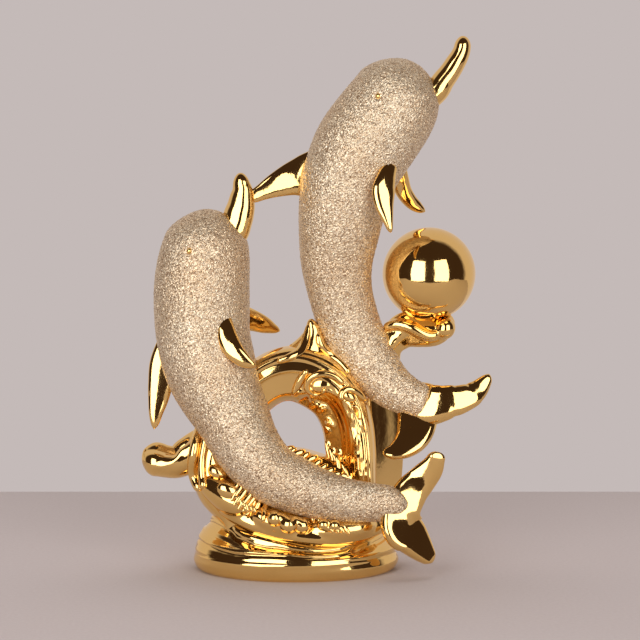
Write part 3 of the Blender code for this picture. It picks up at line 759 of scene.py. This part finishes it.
# %% Table of the ring: X, Y, Z, half width and half depth
WAVE_RING = (
    (10.4, 0.6, 5.2, 4.8, 7.2), (10.7, 0.7, 11, 4.7, 6.8), (10.6, 0.7, 17, 4.7, 6.2),
    (10.4, 0.9, 22.4, 4.8, 5.8), (9.7, 1.1, 27.6, 4.9, 5.5), (7.8, 1.2, 32.2, 5.2, 5.2),
    (4.4, 1.2, 35.4, 5.5, 4.9), (0.2, 1.2, 37, 5.4, 4.6), (-4, 1, 36.4, 5, 4.6),
    (-7.8, 0.8, 33.8, 4.7, 4.8), (-10.8, 0.7, 30, 4.6, 5.2), (-13.3, 0.6, 25.4, 4.7, 5.6),
    (-14.9, 0.4, 20.4, 4.9, 6), (-14.2, 0.2, 15.6, 4.7, 6.4), (-10.6, 0, 10.6, 4, 6.6),
    (-8.8, 0, 5.4, 5, 7.2),
)

# %% Ring section
random = np.random.default_rng(5)


def lumps(count, *ranges):
    """Random lumps: the place along the ring, the place across it, and the size, each from its own range."""
    return np.column_stack([random.uniform(low, high, count) for low, high in ranges])


LIP_LUMPS = lumps(44, (0.06, 0.47), (-0.98, -0.5), (0.04, 0.11))
STRAND_LUMPS = lumps(40, (0.03, 0.41), (0.14, 0.60), (0.03, 0.08))
# Across the face, the edges of the three flat strands on the right side and on the left
STRAND_EDGES = ((0.16, 0.10), (0.50, 0.50), (0.79, 0.77), (1.0, 1.0))
STRAND_RISE = (0.13, 0.14, 0.16)


def ring_section(angle, along):
    """From the hole at -1 to the outer edge at +1: a rough lip, a slope like a funnel, and three strands."""
    u = np.sign(np.cos(angle)) * np.abs(np.cos(angle)) ** 0.9
    face = np.maximum(0.0, 1 - np.abs(u) ** 5.0) ** 0.55
    front = np.sin(angle) > 0
    over_top = ease(along, 0.39, 0.48)
    upright = 1 - over_top
    # The funnel falls from its brink to its foot, and less steeply on to the hole
    brink, foot = 0.12 - 0.72 * over_top, -0.35 - 0.65 * over_top
    upper = np.clip((brink - u) / (brink - foot), 0, 1)
    lower = np.clip((foot - u) / (foot + 1.02), 0, 1)
    drop = (0.55 + 0.20 * over_top) * upper ** (0.9 + 0.6 * over_top) + 0.33 * upright * lower
    trough = 0.16 * over_top * np.clip((0.10 - u) / 0.75, 0, 1)
    face = np.where(front, np.minimum(face, 1 - drop - trough) * ease(u, -1.0, -0.94), face)
    relief = np.zeros_like(u)
    for table, long, wide in ((LIP_LUMPS, 0.0075, 0.09), (STRAND_LUMPS, 0.012, 0.07)):
        for at, across, size in table:
            relief = relief + size * bump(along, at, long) * bump(u, across, wide)
    ripples = np.sin(38 * u + 9 * np.sin(14 * along))
    relief = relief + 0.008 * upright * ripples * sausage(u, -0.15, 0.25)
    fade = 1 - 0.8 * ease(along, 0.64, 0.74)
    for number, rise in enumerate(STRAND_RISE):
        # A strand rises slowly to its crown and falls to a groove
        start, end = (right + (left - right) * over_top for right, left in STRAND_EDGES[number : number + 2])
        waver = 0.015 * np.sin(17 * along + 2 * number)
        t = np.clip((u + waver - start) / (end - start), 0, 1)
        crown = 0.70 - 0.38 * over_top * (number == 0)
        fall = np.clip((1 - t) / (1 - crown), 0, 1) if number == 0 else 1 - ease(t, crown, 1.0)
        strand = np.clip(t / crown, 0, 1) * fall
        relief = relief + 0.70 * rise * (0.55 + 0.45 * over_top) * fade * strand
        groove = 0.035 * upright * (1 + 0.5 * np.sin(60 * along + 3 * number))
        relief = relief - groove * bump(u + waver, (start + end) / 2 + 0.02, 0.028)
    back = 0.07 * face * (sausage(u, -0.45, 0.3) + sausage(u, 0.1, 0.25) + sausage(u, 0.6, 0.25))
    height = face + np.where(front, relief * np.minimum(1, face * 4), back)
    return u, np.sign(np.sin(angle)) * height


ring = stem("ring", WAVE_RING, 400, 176, ring_section)
gold_pieces.append(ring)
print("ring:", triangles(ring), "triangles")

# %% [markdown]
# ## The hook, the saddle and the column
#
# On the left the wave throws out a small hook. Its upper side is scooped like a spoon, and the dish widens
# towards the tip. Under the ring a saddle fills the wave's foot, and behind the upper dolphin's tail a smooth
# column of water rises to the crest.

# %% Tables of the other stems
HOOK = (
    (-14.4, -0.6, 23.2, 4.4, 4.8), (-17.4, -1, 23.1, 4.1, 4.4), (-20.2, -1.6, 21.9, 3.7, 3.9),
    (-22.5, -2, 20.8, 3.2, 3.5), (-24.5, -2, 20.9, 3.2, 3.4), (-26.2, -2, 21.3, 3.4, 3.3),
    (-27.8, -2, 21.5, 3.4, 3.2), (-29.1, -2, 21.6, 3.2, 3),
)
SADDLE = (
    (-12.5, 0.6, 15.6, 4.2, 5.4), (-6, 0.3, 17, 5.4, 5.8), (-0.6, 0.2, 17.6, 5.6, 5.8),
    (3.4, 0.2, 17.2, 5, 5.8), (6.8, 0.3, 16.4, 4.6, 5.8), (12, 0.6, 15.4, 4.2, 5.4),
)
COLUMN = (
    (14.2, 2.6, 6, 3.6, 4.4), (16.2, 4.4, 12.6, 3.7, 4.1), (17.3, 5.8, 19.6, 3.3, 3.5),
    (17.3, 6.6, 26.4, 3.3, 3.4), (16.8, 7, 32, 3.2, 3.3), (16.8, 5.8, 38.6, 2.6, 2.6),
)
BREAKER_TIP = (
    (0.8, 1.2, 38, 5, 3.2), (2.6, 1.2, 41.8, 3.4, 2.4), (3.2, 1.1, 44.6, 2, 1.6), (2.9, 1, 46.6, 1, 1),
    (2.6, 1, 47.6, 0.4, 0.5),
)
SKIRT = (
    (-13.4, -1.2, 14, 2.9, 4), (-9.2, -2.4, 11.6, 4.4, 5.6), (-3, -3, 9.6, 5.2, 6.4),
    (4, -3, 8.8, 5.2, 6.4), (10, -2.6, 8.8, 4.6, 6), (14.6, -1.6, 9, 3.2, 4.4),
)
FRONT_ROLL = (
    (-17.6, 0, 18.2, 1.3, 1.4), (-16, -2.6, 15.4, 1.7, 1.9), (-13.2, -5.2, 12.9, 1.9, 2),
    (-9.6, -7.2, 10.9, 1.9, 2), (-5.1, -8.6, 9.2, 1.9, 2), (0.8, -9.4, 8, 1.9, 2), (6.6, -9.2, 7.6, 1.9, 2),
    (12, -7.6, 8.2, 1.8, 1.9), (16.4, -4.4, 9.2, 1.4, 1.6),
)
FRONT_LOBES = (
    ((-17.2, -2, 17.6, 1.8, 3), (-14.6, -4, 16, 3, 4), (-11.2, -5.8, 14, 3.2, 4.2),
     (-7.6, -6.8, 12.2, 2.2, 3.4)),
    ((-8.4, -5.4, 12.4, 2, 3.6), (-4.6, -6.6, 10.7, 2.8, 4.6), (-0.6, -7, 9.6, 2.9, 4.6),
     (3, -7, 8.6, 1.8, 3.2)),
    ((1.6, -6.4, 9.2, 1.8, 3.6), (5.6, -7, 9, 2.8, 4.5), (10.2, -6.4, 9.1, 2.8, 4.4),
     (14.6, -4.6, 9.8, 2.2, 3.4)),
    ((8.6, -4.6, 10.8, 2.2, 3.4), (12.8, -4.2, 10.4, 2.6, 3.6), (16.8, -3.2, 8.8, 1.3, 2.2)),
)

# %% Stems
def scooped(angle, along):
    """The hook's section: hollowed like a spoon between a front and a back rim, wider towards the tip."""
    spoon = ease(along, 0.45, 0.72)
    depth = (0.66 - 0.26 * spoon) * ease(along, 0.22, 0.5) * (1 - ease(along, 0.90, 0.98))
    turned = (angle - 0.25 - 0.30 * spoon + np.pi) % (2 * np.pi) - np.pi
    width = 0.42 + 0.30 * spoon
    reach = 1 - depth * bump(turned, 0, width) + 0.07 * depth * bump(np.abs(turned), width * 1.9, 0.2)
    return np.cos(angle) * reach, np.sin(angle) * reach


def fluted(angle, _along):
    reach = 1 + 0.05 * np.cos(5 * angle)
    return np.cos(angle) * reach, np.sin(angle) * reach


def rounded_polygon(corners, blur, samples=720):
    """A section from corners, rounded by averaging the closed outline over `blur` of its length."""
    corners = np.array(corners + corners[:1])
    run = distances(corners)
    at = np.arange(samples) / samples * run[-1]
    points = np.column_stack([np.interp(at, run, corners[:, k]) for k in (0, 1)])
    shifts = range(-int(samples * blur / 4), int(samples * blur / 4) + 1)
    for _ in range(3):
        points = np.mean([np.roll(points, shift, axis=0) for shift in shifts], axis=0)
    points = np.concatenate([points, points[:1]])
    turn = np.linspace(0, 2 * np.pi, samples + 1)
    return lambda angle, _along: (np.interp(angle, turn, points[:, 0]), np.interp(angle, turn, points[:, 1]))


# The column is a rounded wedge. Its long face looks to the right, half way between the studio's dark side and
# its pale side, and its sharp edge is behind the ring.
wedge = rounded_polygon([(1.2, -0.86), (-1.0, 1.3), (-1.15, -0.9)], 0.16)


def sheet_of_water(angle, along):
    u, v = wedge(angle, along)
    reach = 1 + 0.03 * np.sin(5 * angle + 1.5 * along)
    return u * reach, v * reach


hook = stem("hook", HOOK, 150, 112, scooped, 0.5, 0, 3.0)
column = stem("column", COLUMN, 110, 90, sheet_of_water, 0.3, 0, 3.2)
wave_parts = [
    stem("saddle", SADDLE, 90, 80, fluted),
    stem("skirt", SKIRT, 90, 80, oval, 0.5, 2, 2),
    stem("front_roll", FRONT_ROLL, 150, 48, oval, 0.5, 2, 2),
    stem("breaker_tip", BREAKER_TIP, 60, 48, oval, 0.5, 0, 0.5),
    *(stem(f"front_lobe_{k}", rows, 70, 64, oval, 0.5, 2.6, 2.6) for k, rows in enumerate(FRONT_LOBES)),
]
wave = fuse("wave_foot", wave_parts, voxel=0.0008, rounds=8)
gold_pieces += [hook, column, wave]

# %% [markdown]
# ## Strands and beads laid on the wave
#
# The modeller rolled thin sausages of clay and laid them on the face of the wave: the scroll, the curls and
# the foam. Here each is drawn as a line seen from the front, and dropped on what lies behind it.

# %% Laying a line on a surface
def tree_of(pieces):
    return BVHTree.FromPolygons(*merged(pieces))


def front_of(surface_tree, x, z):
    """Y of the first surface met from the front at these places, in metres. Gaps take their neighbour's."""
    found = []
    for a, b in zip(x, z):
        hit = surface_tree.ray_cast(Vector((a, -0.3, b)), Vector((0, 1, 0)))[0]
        found.append(hit.y if hit else np.nan)
    found = np.array(found)
    good = ~np.isnan(found)
    if not good.any():
        raise ValueError("a strand lies over nothing")
    return np.interp(np.arange(len(found)), np.nonzero(good)[0], found[good])


def laid(name, line, radius, stand, surface_tree, count=56):
    """A sausage along a line of (x, z) in hundredths, standing proud of the surface by a share of its radius.

    `radius` is in hundredths, one number or one for each point.
    """
    radii = np.broadcast_to(np.asarray(radius, float), (len(line),))
    rows = np.column_stack([np.insert(line, 1, 0, axis=1), radii, radii])
    found, run, length = path(rows, count, 0.6)
    found = share(found)
    depth = front_of(surface_tree, found[:, 0], found[:, 2])
    for _ in range(6):
        depth = np.convolve(np.pad(depth, 2, mode="edge"), np.ones(5) / 5, mode="valid")
    found[:, 1] = depth + found[:, 3] * (1 - 2 * stand)
    cap = share(radii.mean()) * 1.1
    return skin(name, rings(rounded_ends(found, share(run), share(length), cap, cap), 20, oval))


def bead(name, x, z, wide, tall, stand, surface_tree, flat=0.8, lean=0.0):
    """A rounded boss at (x, z), in hundredths, that leans by an angle in radians."""
    t = np.sin(np.linspace(-1, 1, 60) * np.pi / 2)
    half = share(wide * np.sqrt(np.maximum(0, 1 - t**2)) + 0.002)
    middle = front_of(surface_tree, [share(x)], [share(z)])[0] + share(wide) * flat * (1 - 2 * stand)
    rows = np.column_stack([
        share(x + t * tall * math.sin(lean)), np.full(len(t), middle), share(z + t * tall * math.cos(lean)),
        half, half * flat,
    ])
    return skin(name, rings(rows, 40, oval))

# %% Strands of the ring, the scroll and the left edge
ground = tree_of(gold_pieces[-4:])
SCROLL = (
    (9, 35.6), (8.1, 36.5), (7, 37.2), (5.6, 37.6), (4.2, 37.5), (2.9, 36.9), (2.2, 35.9), (2.1, 34.7),
    (2.8, 33.8), (4, 33.5), (5.1, 34), (5.4, 35),
)
PETAL = (
    (((-18, 27.6), (-18.7, 24.8), (-19.2, 22.2), (-19.4, 20.3), (-19.2, 18.4), (-18.5, 16.8), (-17.7, 15.8)),
     0.95),
    (((-16.6, 26.2), (-17.2, 23.6), (-17.5, 21.4), (-17.5, 19.3), (-17.3, 17.6), (-17, 16.4)), 0.85),
)
details = [bead("scroll_mound", 5.2, 35.4, 1.7, 2.6, 0.14, ground, 0.6, 1.45)]
ground = tree_of(gold_pieces[-4:] + details)
details += [
    laid("scroll_curl", SCROLL, (0.4, 0.6, 0.68, 0.7, 0.7, 0.7, 0.68, 0.62, 0.55, 0.5, 0.45, 0.4), 0.62,
         ground, 90),
    laid("curl", ((8.9, 32.6), (8.5, 33.5), (8.9, 34.3), (9.8, 34.7), (10.9, 34.4), (12.2, 33.3),
                  (13.2, 31.9)), (0.5, 0.65, 0.7, 0.7, 0.7, 0.7, 0.5), 0.55, ground, 80),
    bead("curl_mound", 9.9, 33.3, 1, 1.5, 0.45, ground, 0.7, 2.2),
    laid("fold", ((-0.8, 33.2), (0.1, 34.8), (1, 36.6), (2.2, 38.4)), (0.3, 0.8, 0.9, 0.5), 0.3, ground),
    laid("pocket", ((10.2, 31.6), (11, 31.6), (11.7, 31), (12, 30), (11.9, 29)), 0.42, 0.6, ground),
    laid("tip_left", ((2.4, 46.6), (2.1, 44.6), (1.6, 42.8), (0.6, 41.4), (-1.2, 40.6), (-3.6, 39.8)),
         (0.4, 0.8, 1, 1, 0.8, 0.5), 0.35, ground),
    laid("tip_right", ((4.2, 45), (4.4, 43.2), (5.2, 41.8), (6.8, 40.4), (8.6, 39), (10.2, 37.2)),
         (0.5, 0.9, 1, 1, 0.9, 0.6), 0.35, ground),
    bead("eye_boss", -14.6, 19.2, 1.4, 2, 0.6, ground, 0.9, 2.14),
    bead("lower_boss", -12.4, 16.3, 1.5, 2.3, 0.5, ground, 0.7, 2.05),
]
details += [laid(f"petal_rim_{k}", line, radius, 0.5, ground) for k, (line, radius) in enumerate(PETAL)]
strands = gather("wave_strands", details)
gold_pieces.append(strands)
print("strands:", triangles(strands), "triangles")

# %% [markdown]
# ## Foam
#
# Where the lower dolphin breaks the water there is foam: short tongues side by side, and a few long rolls.
# The tongues repeat along a line, so they are grown by nodes: a small egg is set on each point of the line,
# leaned over, and made a little longer or shorter by a seeded random number.

# %% Foam tree
foam_tree, given = node_tree("foam_tongues", {
    "Count": INT, "Length": FLOAT, "Width": FLOAT, "Lean": FLOAT, "Tip": FLOAT, "Waver": FLOAT, "Seed": INT,
})
tree = foam_tree
line = add(tree, "GeometryNodeMeshToCurve", {"Mesh": (given, "Geometry")})
spots = add(tree, "GeometryNodeResampleCurve", {"Curve": (line, 0), "Count": (given, "Count")})
egg = add(tree, "GeometryNodeMeshUVSphere", {"Segments": 20, "Rings": 14, "Radius": 1.0})
thin = add(tree, "ShaderNodeMath", {"operation": "MULTIPLY", 0: (given, "Width"), 1: 0.7})
size = add(tree, "ShaderNodeCombineXYZ", {"X": (given, "Width"), "Y": (thin, 0), "Z": (given, "Length")})
spread, wobble = (
    add(tree, "FunctionNodeRandomValue", {"data_type": "FLOAT", 2: low, 3: high, "Seed": (given, "Seed")})
    for low, high in ((0.8, 1.2), (-1.0, 1.0))
)
grown = add(tree, "ShaderNodeVectorMath", {"operation": "SCALE", 0: (size, 0), "Scale": (spread, 1)})
swing = add(tree, "ShaderNodeMath", {"operation": "MULTIPLY", 0: (wobble, 1), 1: (given, "Waver")})
leaned = add(tree, "ShaderNodeMath", {"operation": "ADD", 0: (given, "Lean"), 1: (swing, 0)})
turned = add(tree, "ShaderNodeCombineXYZ", {"X": (given, "Tip"), "Y": (leaned, 0)})
set_out = add(tree, "GeometryNodeInstanceOnPoints", {
    "Points": (spots, 0), "Instance": (egg, 0), "Rotation": (turned, 0), "Scale": (grown, 0),
})
end_tree(tree, set_out, True, gold_plate)


def tongues(name, line, count, length, width, lean, sunk, seed):
    """A row of foam tongues along a line of (x, z). Length and width are halves. All are in hundredths."""
    line = share(line)
    fine = np.linspace(0, 1, 40)
    x, z = (np.interp(fine, np.linspace(0, 1, len(line)), line[:, k]) for k in (0, 1))
    points = np.column_stack([x, front_of(ground, x, z) + share(sunk), z])
    mesh = bpy.data.meshes.new(name)
    mesh.from_pydata(points.tolist(), [(k, k + 1) for k in range(len(points) - 1)], [])
    made = bpy.data.objects.new(name, mesh)
    bpy.context.scene.collection.objects.link(made)
    return grow(made, foam_tree, {
        "Count": count, "Length": float(share(length)), "Width": float(share(width)), "Lean": lean,
        "Tip": -0.30, "Waver": 0.22, "Seed": seed,
    })

# %% Foam
ground = tree_of([wave, ring])
foam = gather("foam", [
    tongues("fingers", ((-11.2, 17), (-10.2, 15.6), (-8.8, 14.5), (-7, 13.6)), 7, 2, 0.5, 0.55, -1, 3),
    tongues("finger_roots", ((-10.6, 15), (-9.4, 13.9), (-8, 13.2)), 5, 1.1, 0.5, -0.7, -0.7, 8),
    tongues("saddle_tongues", ((-1.6, 22.9), (0.6, 22.4), (2.4, 21.8), (4, 20.7), (5.6, 19.6), (7.4, 18.6)),
            9, 1.4, 0.62, 1.1, -0.2, 4),
    tongues("wall_tongues", ((6, 22.6), (7, 21.4), (8, 20.2), (9.2, 19.4)), 5, 1.8, 0.42, -0.3, -0.2, 6),
    laid("pillar", ((-5.3, 14.6), (-5.7, 12.8), (-6, 10.8)), (0.8, 0.6, 0.4), 0.55, ground, 40),
    laid("long_roll", ((-4.8, 12.8), (-3.7, 11.7), (-2.5, 11.5), (-1.2, 10.6), (0, 10.9), (1.3, 10.2),
                       (2.4, 10.6)), (1, 1.6, 1.15, 1.75, 1.25, 1.65, 1), 0.62, ground),
    bead("knot", 3.3, 11, 0.75, 0.8, 0.6, ground),
    laid("right_roll", ((4, 10.8), (5.2, 10.4), (6.1, 9.9), (7.2, 10.3), (8.2, 9.8), (9.4, 9.9)),
         (0.8, 1.2, 0.8, 1.2, 0.85, 0.7), 0.6, ground),
    tongues("right_tongues", ((4.6, 10.6), (6.2, 10.3), (7.8, 10), (9.4, 9.7)),
            6, 1.25, 0.45, -0.5, -0.7, 12),
])
gold_pieces.append(foam)
print("foam:", triangles(foam), "triangles")

# %% [markdown]
# ## The base
#
# The base is a puddle of rolled layers. Its layers aren't level: they start high on the left, sink across
# the front and gather into a point on the right. So the side of the base is drawn as one sheet, with the
# height of each roll and groove given along the front.

# %% Table of the base
# Levels: height as a share of the base's, reach as a share of the half width, tilt to the left and back
BASE_LEVELS = (
    (0, 0.935, 0, 0), (0.05, 0.975, 0, 0), (0.16, 1, 0, 0), (0.25, 0.985, 0, -0.1), (0.3, 0.97, 0, -0.1),
    (0.37, 0.968, 0, 0), (0.48, 0.95, 0.1, 0.1), (0.58, 0.905, 0.1, 0.2), (0.63, 0.865, 0.1, 0.2),
    (0.74, 0.815, 0.1, 0.2), (0.87, 0.76, 0.1, 0.2), (1, 0.6, 0.1, 0.2),
)
# Rolls and grooves: places as (X as a share of the half width, Z), height and width, in hundredths
BASE_LINES = (
    (((-1, 4), (-0.79, 3.4), (-0.59, 3.3), (-0.34, 3.2), (0.05, 3.4), (0.33, 3.6), (0.53, 3.9), (0.69, 4),
      (0.82, 4.8), (1, 5.6)),
     0.3, 0.85),
    (((-1, 6), (-0.92, 5.6), (-0.74, 5), (-0.6, 4.7), (-0.45, 4.8), (-0.25, 4.9), (-0.05, 4.9), (0.1, 4.6),
      (0.29, 4.5), (0.49, 4.6), (0.6, 4.7), (0.75, 5.3), (1, 6.2)),
     -0.32, 0.32),
    (((-1, 8.2), (-0.77, 7.2), (-0.68, 6.6), (-0.57, 6.1), (-0.47, 5.8), (-0.34, 5.6), (-0.11, 5.4),
      (0.05, 5.2), (0.2, 5.1), (0.41, 5), (0.54, 5.3), (0.67, 5.8), (0.79, 6.4), (1, 6.8)),
     0.24, 0.4),
    (((-1, 9.2), (-0.77, 8.2), (-0.68, 7.3), (-0.57, 6.9), (-0.47, 6.5), (-0.34, 6.2), (-0.21, 6.1),
      (-0.11, 5.9), (0.05, 5.6), (0.2, 5.4), (0.41, 5.4), (0.54, 5.6), (0.67, 6.3), (0.79, 6.9), (1, 7.2)),
     -0.22, 0.22),
    (((-1, 10.4), (-0.77, 9.8), (-0.72, 9), (-0.61, 8), (-0.43, 7.5), (-0.26, 7.1), (-0.11, 6.7),
      (0.05, 6.2), (0.27, 5.8), (0.49, 5.9), (0.62, 6.4), (0.8, 7.2), (1, 7.6)),
     0.3, 0.5),
    (((-1, 11.6), (-0.84, 11.2), (-0.69, 10.2), (-0.54, 9.4), (-0.4, 8.5), (-0.28, 8), (-0.12, 7.4),
      (0.05, 6.9), (0.2, 6.5), (0.41, 6.3), (0.55, 6.6), (0.67, 7.1), (0.8, 7.9), (1, 8.2)),
     -0.34, 0.3),
)

# %% Base
def base_skin(around=440, up=120):
    """The side and the top of the base as one sheet, from the underside's edge to the middle of the top."""
    theta = 2 * np.pi * np.arange(around) / around
    x, y = np.cos(theta), np.sin(theta)
    rearward = 1 / (1 + np.exp(-y * 7))
    grid = np.empty((up, around, 3))
    for k, (height, reach, left, back) in enumerate(spline(BASE_LEVELS, np.linspace(0, 1, up))):
        z = BASE_HEIGHT * np.clip(height, 0, 1) * (1 - left * x + back * y)
        swell = np.zeros(around)
        for places, rise, width in BASE_LINES:
            at, level = np.transpose(places)
            rear = np.interp(x, (-1, 1), (level[0], level[-1])) * 0.9
            line = np.interp(x, at, level) * (1 - rearward) + rear * rearward
            swell += share(rise) * bump(z, share(line), share(width)) * (1 - 0.45 * rearward)
        swell *= np.clip(height / 0.06, 0, 1) * np.clip((1.0 - height) / 0.08, 0, 1)
        ripple = 1 + 0.010 * np.sin(5 * theta + 7 * height) * height
        narrower = 1 - 0.015 * height * x
        grid[k, :, 0] = (BASE_HALF[0] * reach * narrower * ripple + swell) * x
        grid[k, :, 1] = (BASE_HALF[1] * reach * ripple + swell) * y
        grid[k, :, 2] = z
    return skin("base", grid)


base = base_skin()
print("base:", triangles(base), "triangles")
gold_pieces.append(base)

# %% [markdown]
# ## The crest and the ball
#
# Behind the upper dolphin the column ends in a small crest. It rolls over to the right like a cupped hand,
# and the ball lies in it. The real ball was thrown hollow and luted on with slip, so it isn't a perfect
# sphere: it is a hair flatter where it sits.

# %% Ball
SEAT, SEAT_FLATNESS = -0.93, 0.85  # below this share of the radius the ball is flatter by this factor


def body_side(rows, height):
    """X of a body's right side at a height, in metres, as the solid places the ball."""
    found = share(spline(rows, np.arange(401) / 400))
    near = np.abs(found[:, 2] - height) <= found[:, 3] * 0.4
    return (found[near, 0] + found[near, 3]).max()


radius = BALL_DIAMETER / 2
height = share(BALL_FOOT) + radius
BALL_CENTRE = Vector((body_side(UPPER_BODY, height) + BALL_TO_BODY + radius, share(BALL_Y), height))
t = np.linspace(0, np.pi, 110)
level = np.where(np.cos(t) < SEAT, SEAT + (np.cos(t) - SEAT) * SEAT_FLATNESS, np.cos(t))
half = radius * np.sin(t) + 1e-6
rows = np.column_stack([
    np.full(110, BALL_CENTRE.x), np.full(110, BALL_CENTRE.y), BALL_CENTRE.z + radius * level, half, half,
])
ball = skin("ball", rings(rows, 160, oval))
gold_pieces.append(ball)
print("ball's centre:", [round(v * 1000, 1) for v in BALL_CENTRE], "mm")

# %% Crest. The arm's rows are X, Z, half width and half depth from the ball's seat, in ball diameters
CREST_ROOT = ((16.8, 6, 33, 2.7, 2.8), (17.2, 6, 37.8, 2.6, 2.7))
CREST_ARM = (
    (-0.43, -0.34, 0.14, 0.14), (-0.345, -0.215, 0.17, 0.155), (-0.235, -0.14, 0.19, 0.165),
    (-0.09, -0.15, 0.18, 0.17), (0.06, -0.15, 0.165, 0.17), (0.165, -0.085, 0.13, 0.15),
    (0.235, 0.02, 0.06, 0.09),
)
seat = BALL_CENTRE.z - radius + BALL_BEDDING
rows = [share(row) for row in CREST_ROOT]
for across, up, wide, deep in CREST_ARM:
    rows.append((
        BALL_CENTRE.x + BALL_DIAMETER * across, BALL_CENTRE.y, seat + BALL_DIAMETER * up,
        BALL_DIAMETER * wide, BALL_DIAMETER * deep,
    ))
found, run, length = path(rows, 160, 0.4)
found = rounded_ends(found, run, length, 0, share(1.2))
crest_parts = [skin("crest_arm", rings(found, 96, fluted, turn=0.6))]
ground = tree_of(crest_parts)
crest_parts += [
    laid("crest_lip", ((16.6, 45.6), (18.1, 46.2), (19.6, 46.4), (21.8, 45.8), (23.7, 44.8), (25.4, 44.3),
                       (27.0, 44.8)), (0.8, 1.0, 1.05, 1.05, 1.05, 1.0, 0.8), 0.55, ground),
    bead("crest_knob", 28.2, 45.6, 1.9, 2.1, 0.4, ground, 1.0, 0.5),
]
gold_pieces.append(fuse("crest", crest_parts, voxel=0.0006, rounds=5))

# %% [markdown]
# ## Floor and table of pieces
#
# The floor is plain and pale, and ends in front of the figurine and behind it like the edges of a table,
# because the gold mirrors the near edge. Then every piece is tied to the one body and stands for the one
# solid.

# %% Floor
FLOOR_DROP = 0.00005  # keeps it clear of the underside's plane
LEFT, RIGHT, FRONT, BACK = -1.0, 1.0, -0.5, 0.24  # the floor's edges, in metres
floor_material, tree, place = material("pale_floor")
speckle = add(tree, "ShaderNodeTexNoise", {
    "Scale": per_metre(0.002), "Detail": 2.0, "Vector": (place, "Object"),
})
floor_colour = add(tree, "ShaderNodeMix", {
    "data_type": "RGBA", 0: (speckle, 0), 6: linear("#C3B7B4"), 7: linear("#CEC4C1"),
})
matte = add(tree, "ShaderNodeBsdfPrincipled", {"Roughness": 0.9, "Base Color": (floor_colour, 2)})
add(tree, "ShaderNodeOutputMaterial", {"Surface": (matte, 0)})
corners = [(x, y, -FLOOR_DROP) for x, y in ((LEFT, FRONT), (RIGHT, FRONT), (RIGHT, BACK), (LEFT, BACK))]
floor = mesh_object("floor", corners, [(0, 1, 2, 3)], floor_material, smooth=False)

# %% Every piece rides on the root body
total = 0
for piece in sand_pieces + gold_pieces:
    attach(piece, "root")
    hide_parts("dolphin_figurine")
    total += triangles(piece)
    print(f"{piece.name:22s} {triangles(piece):7d} triangles")
print("in all", total, "triangles")
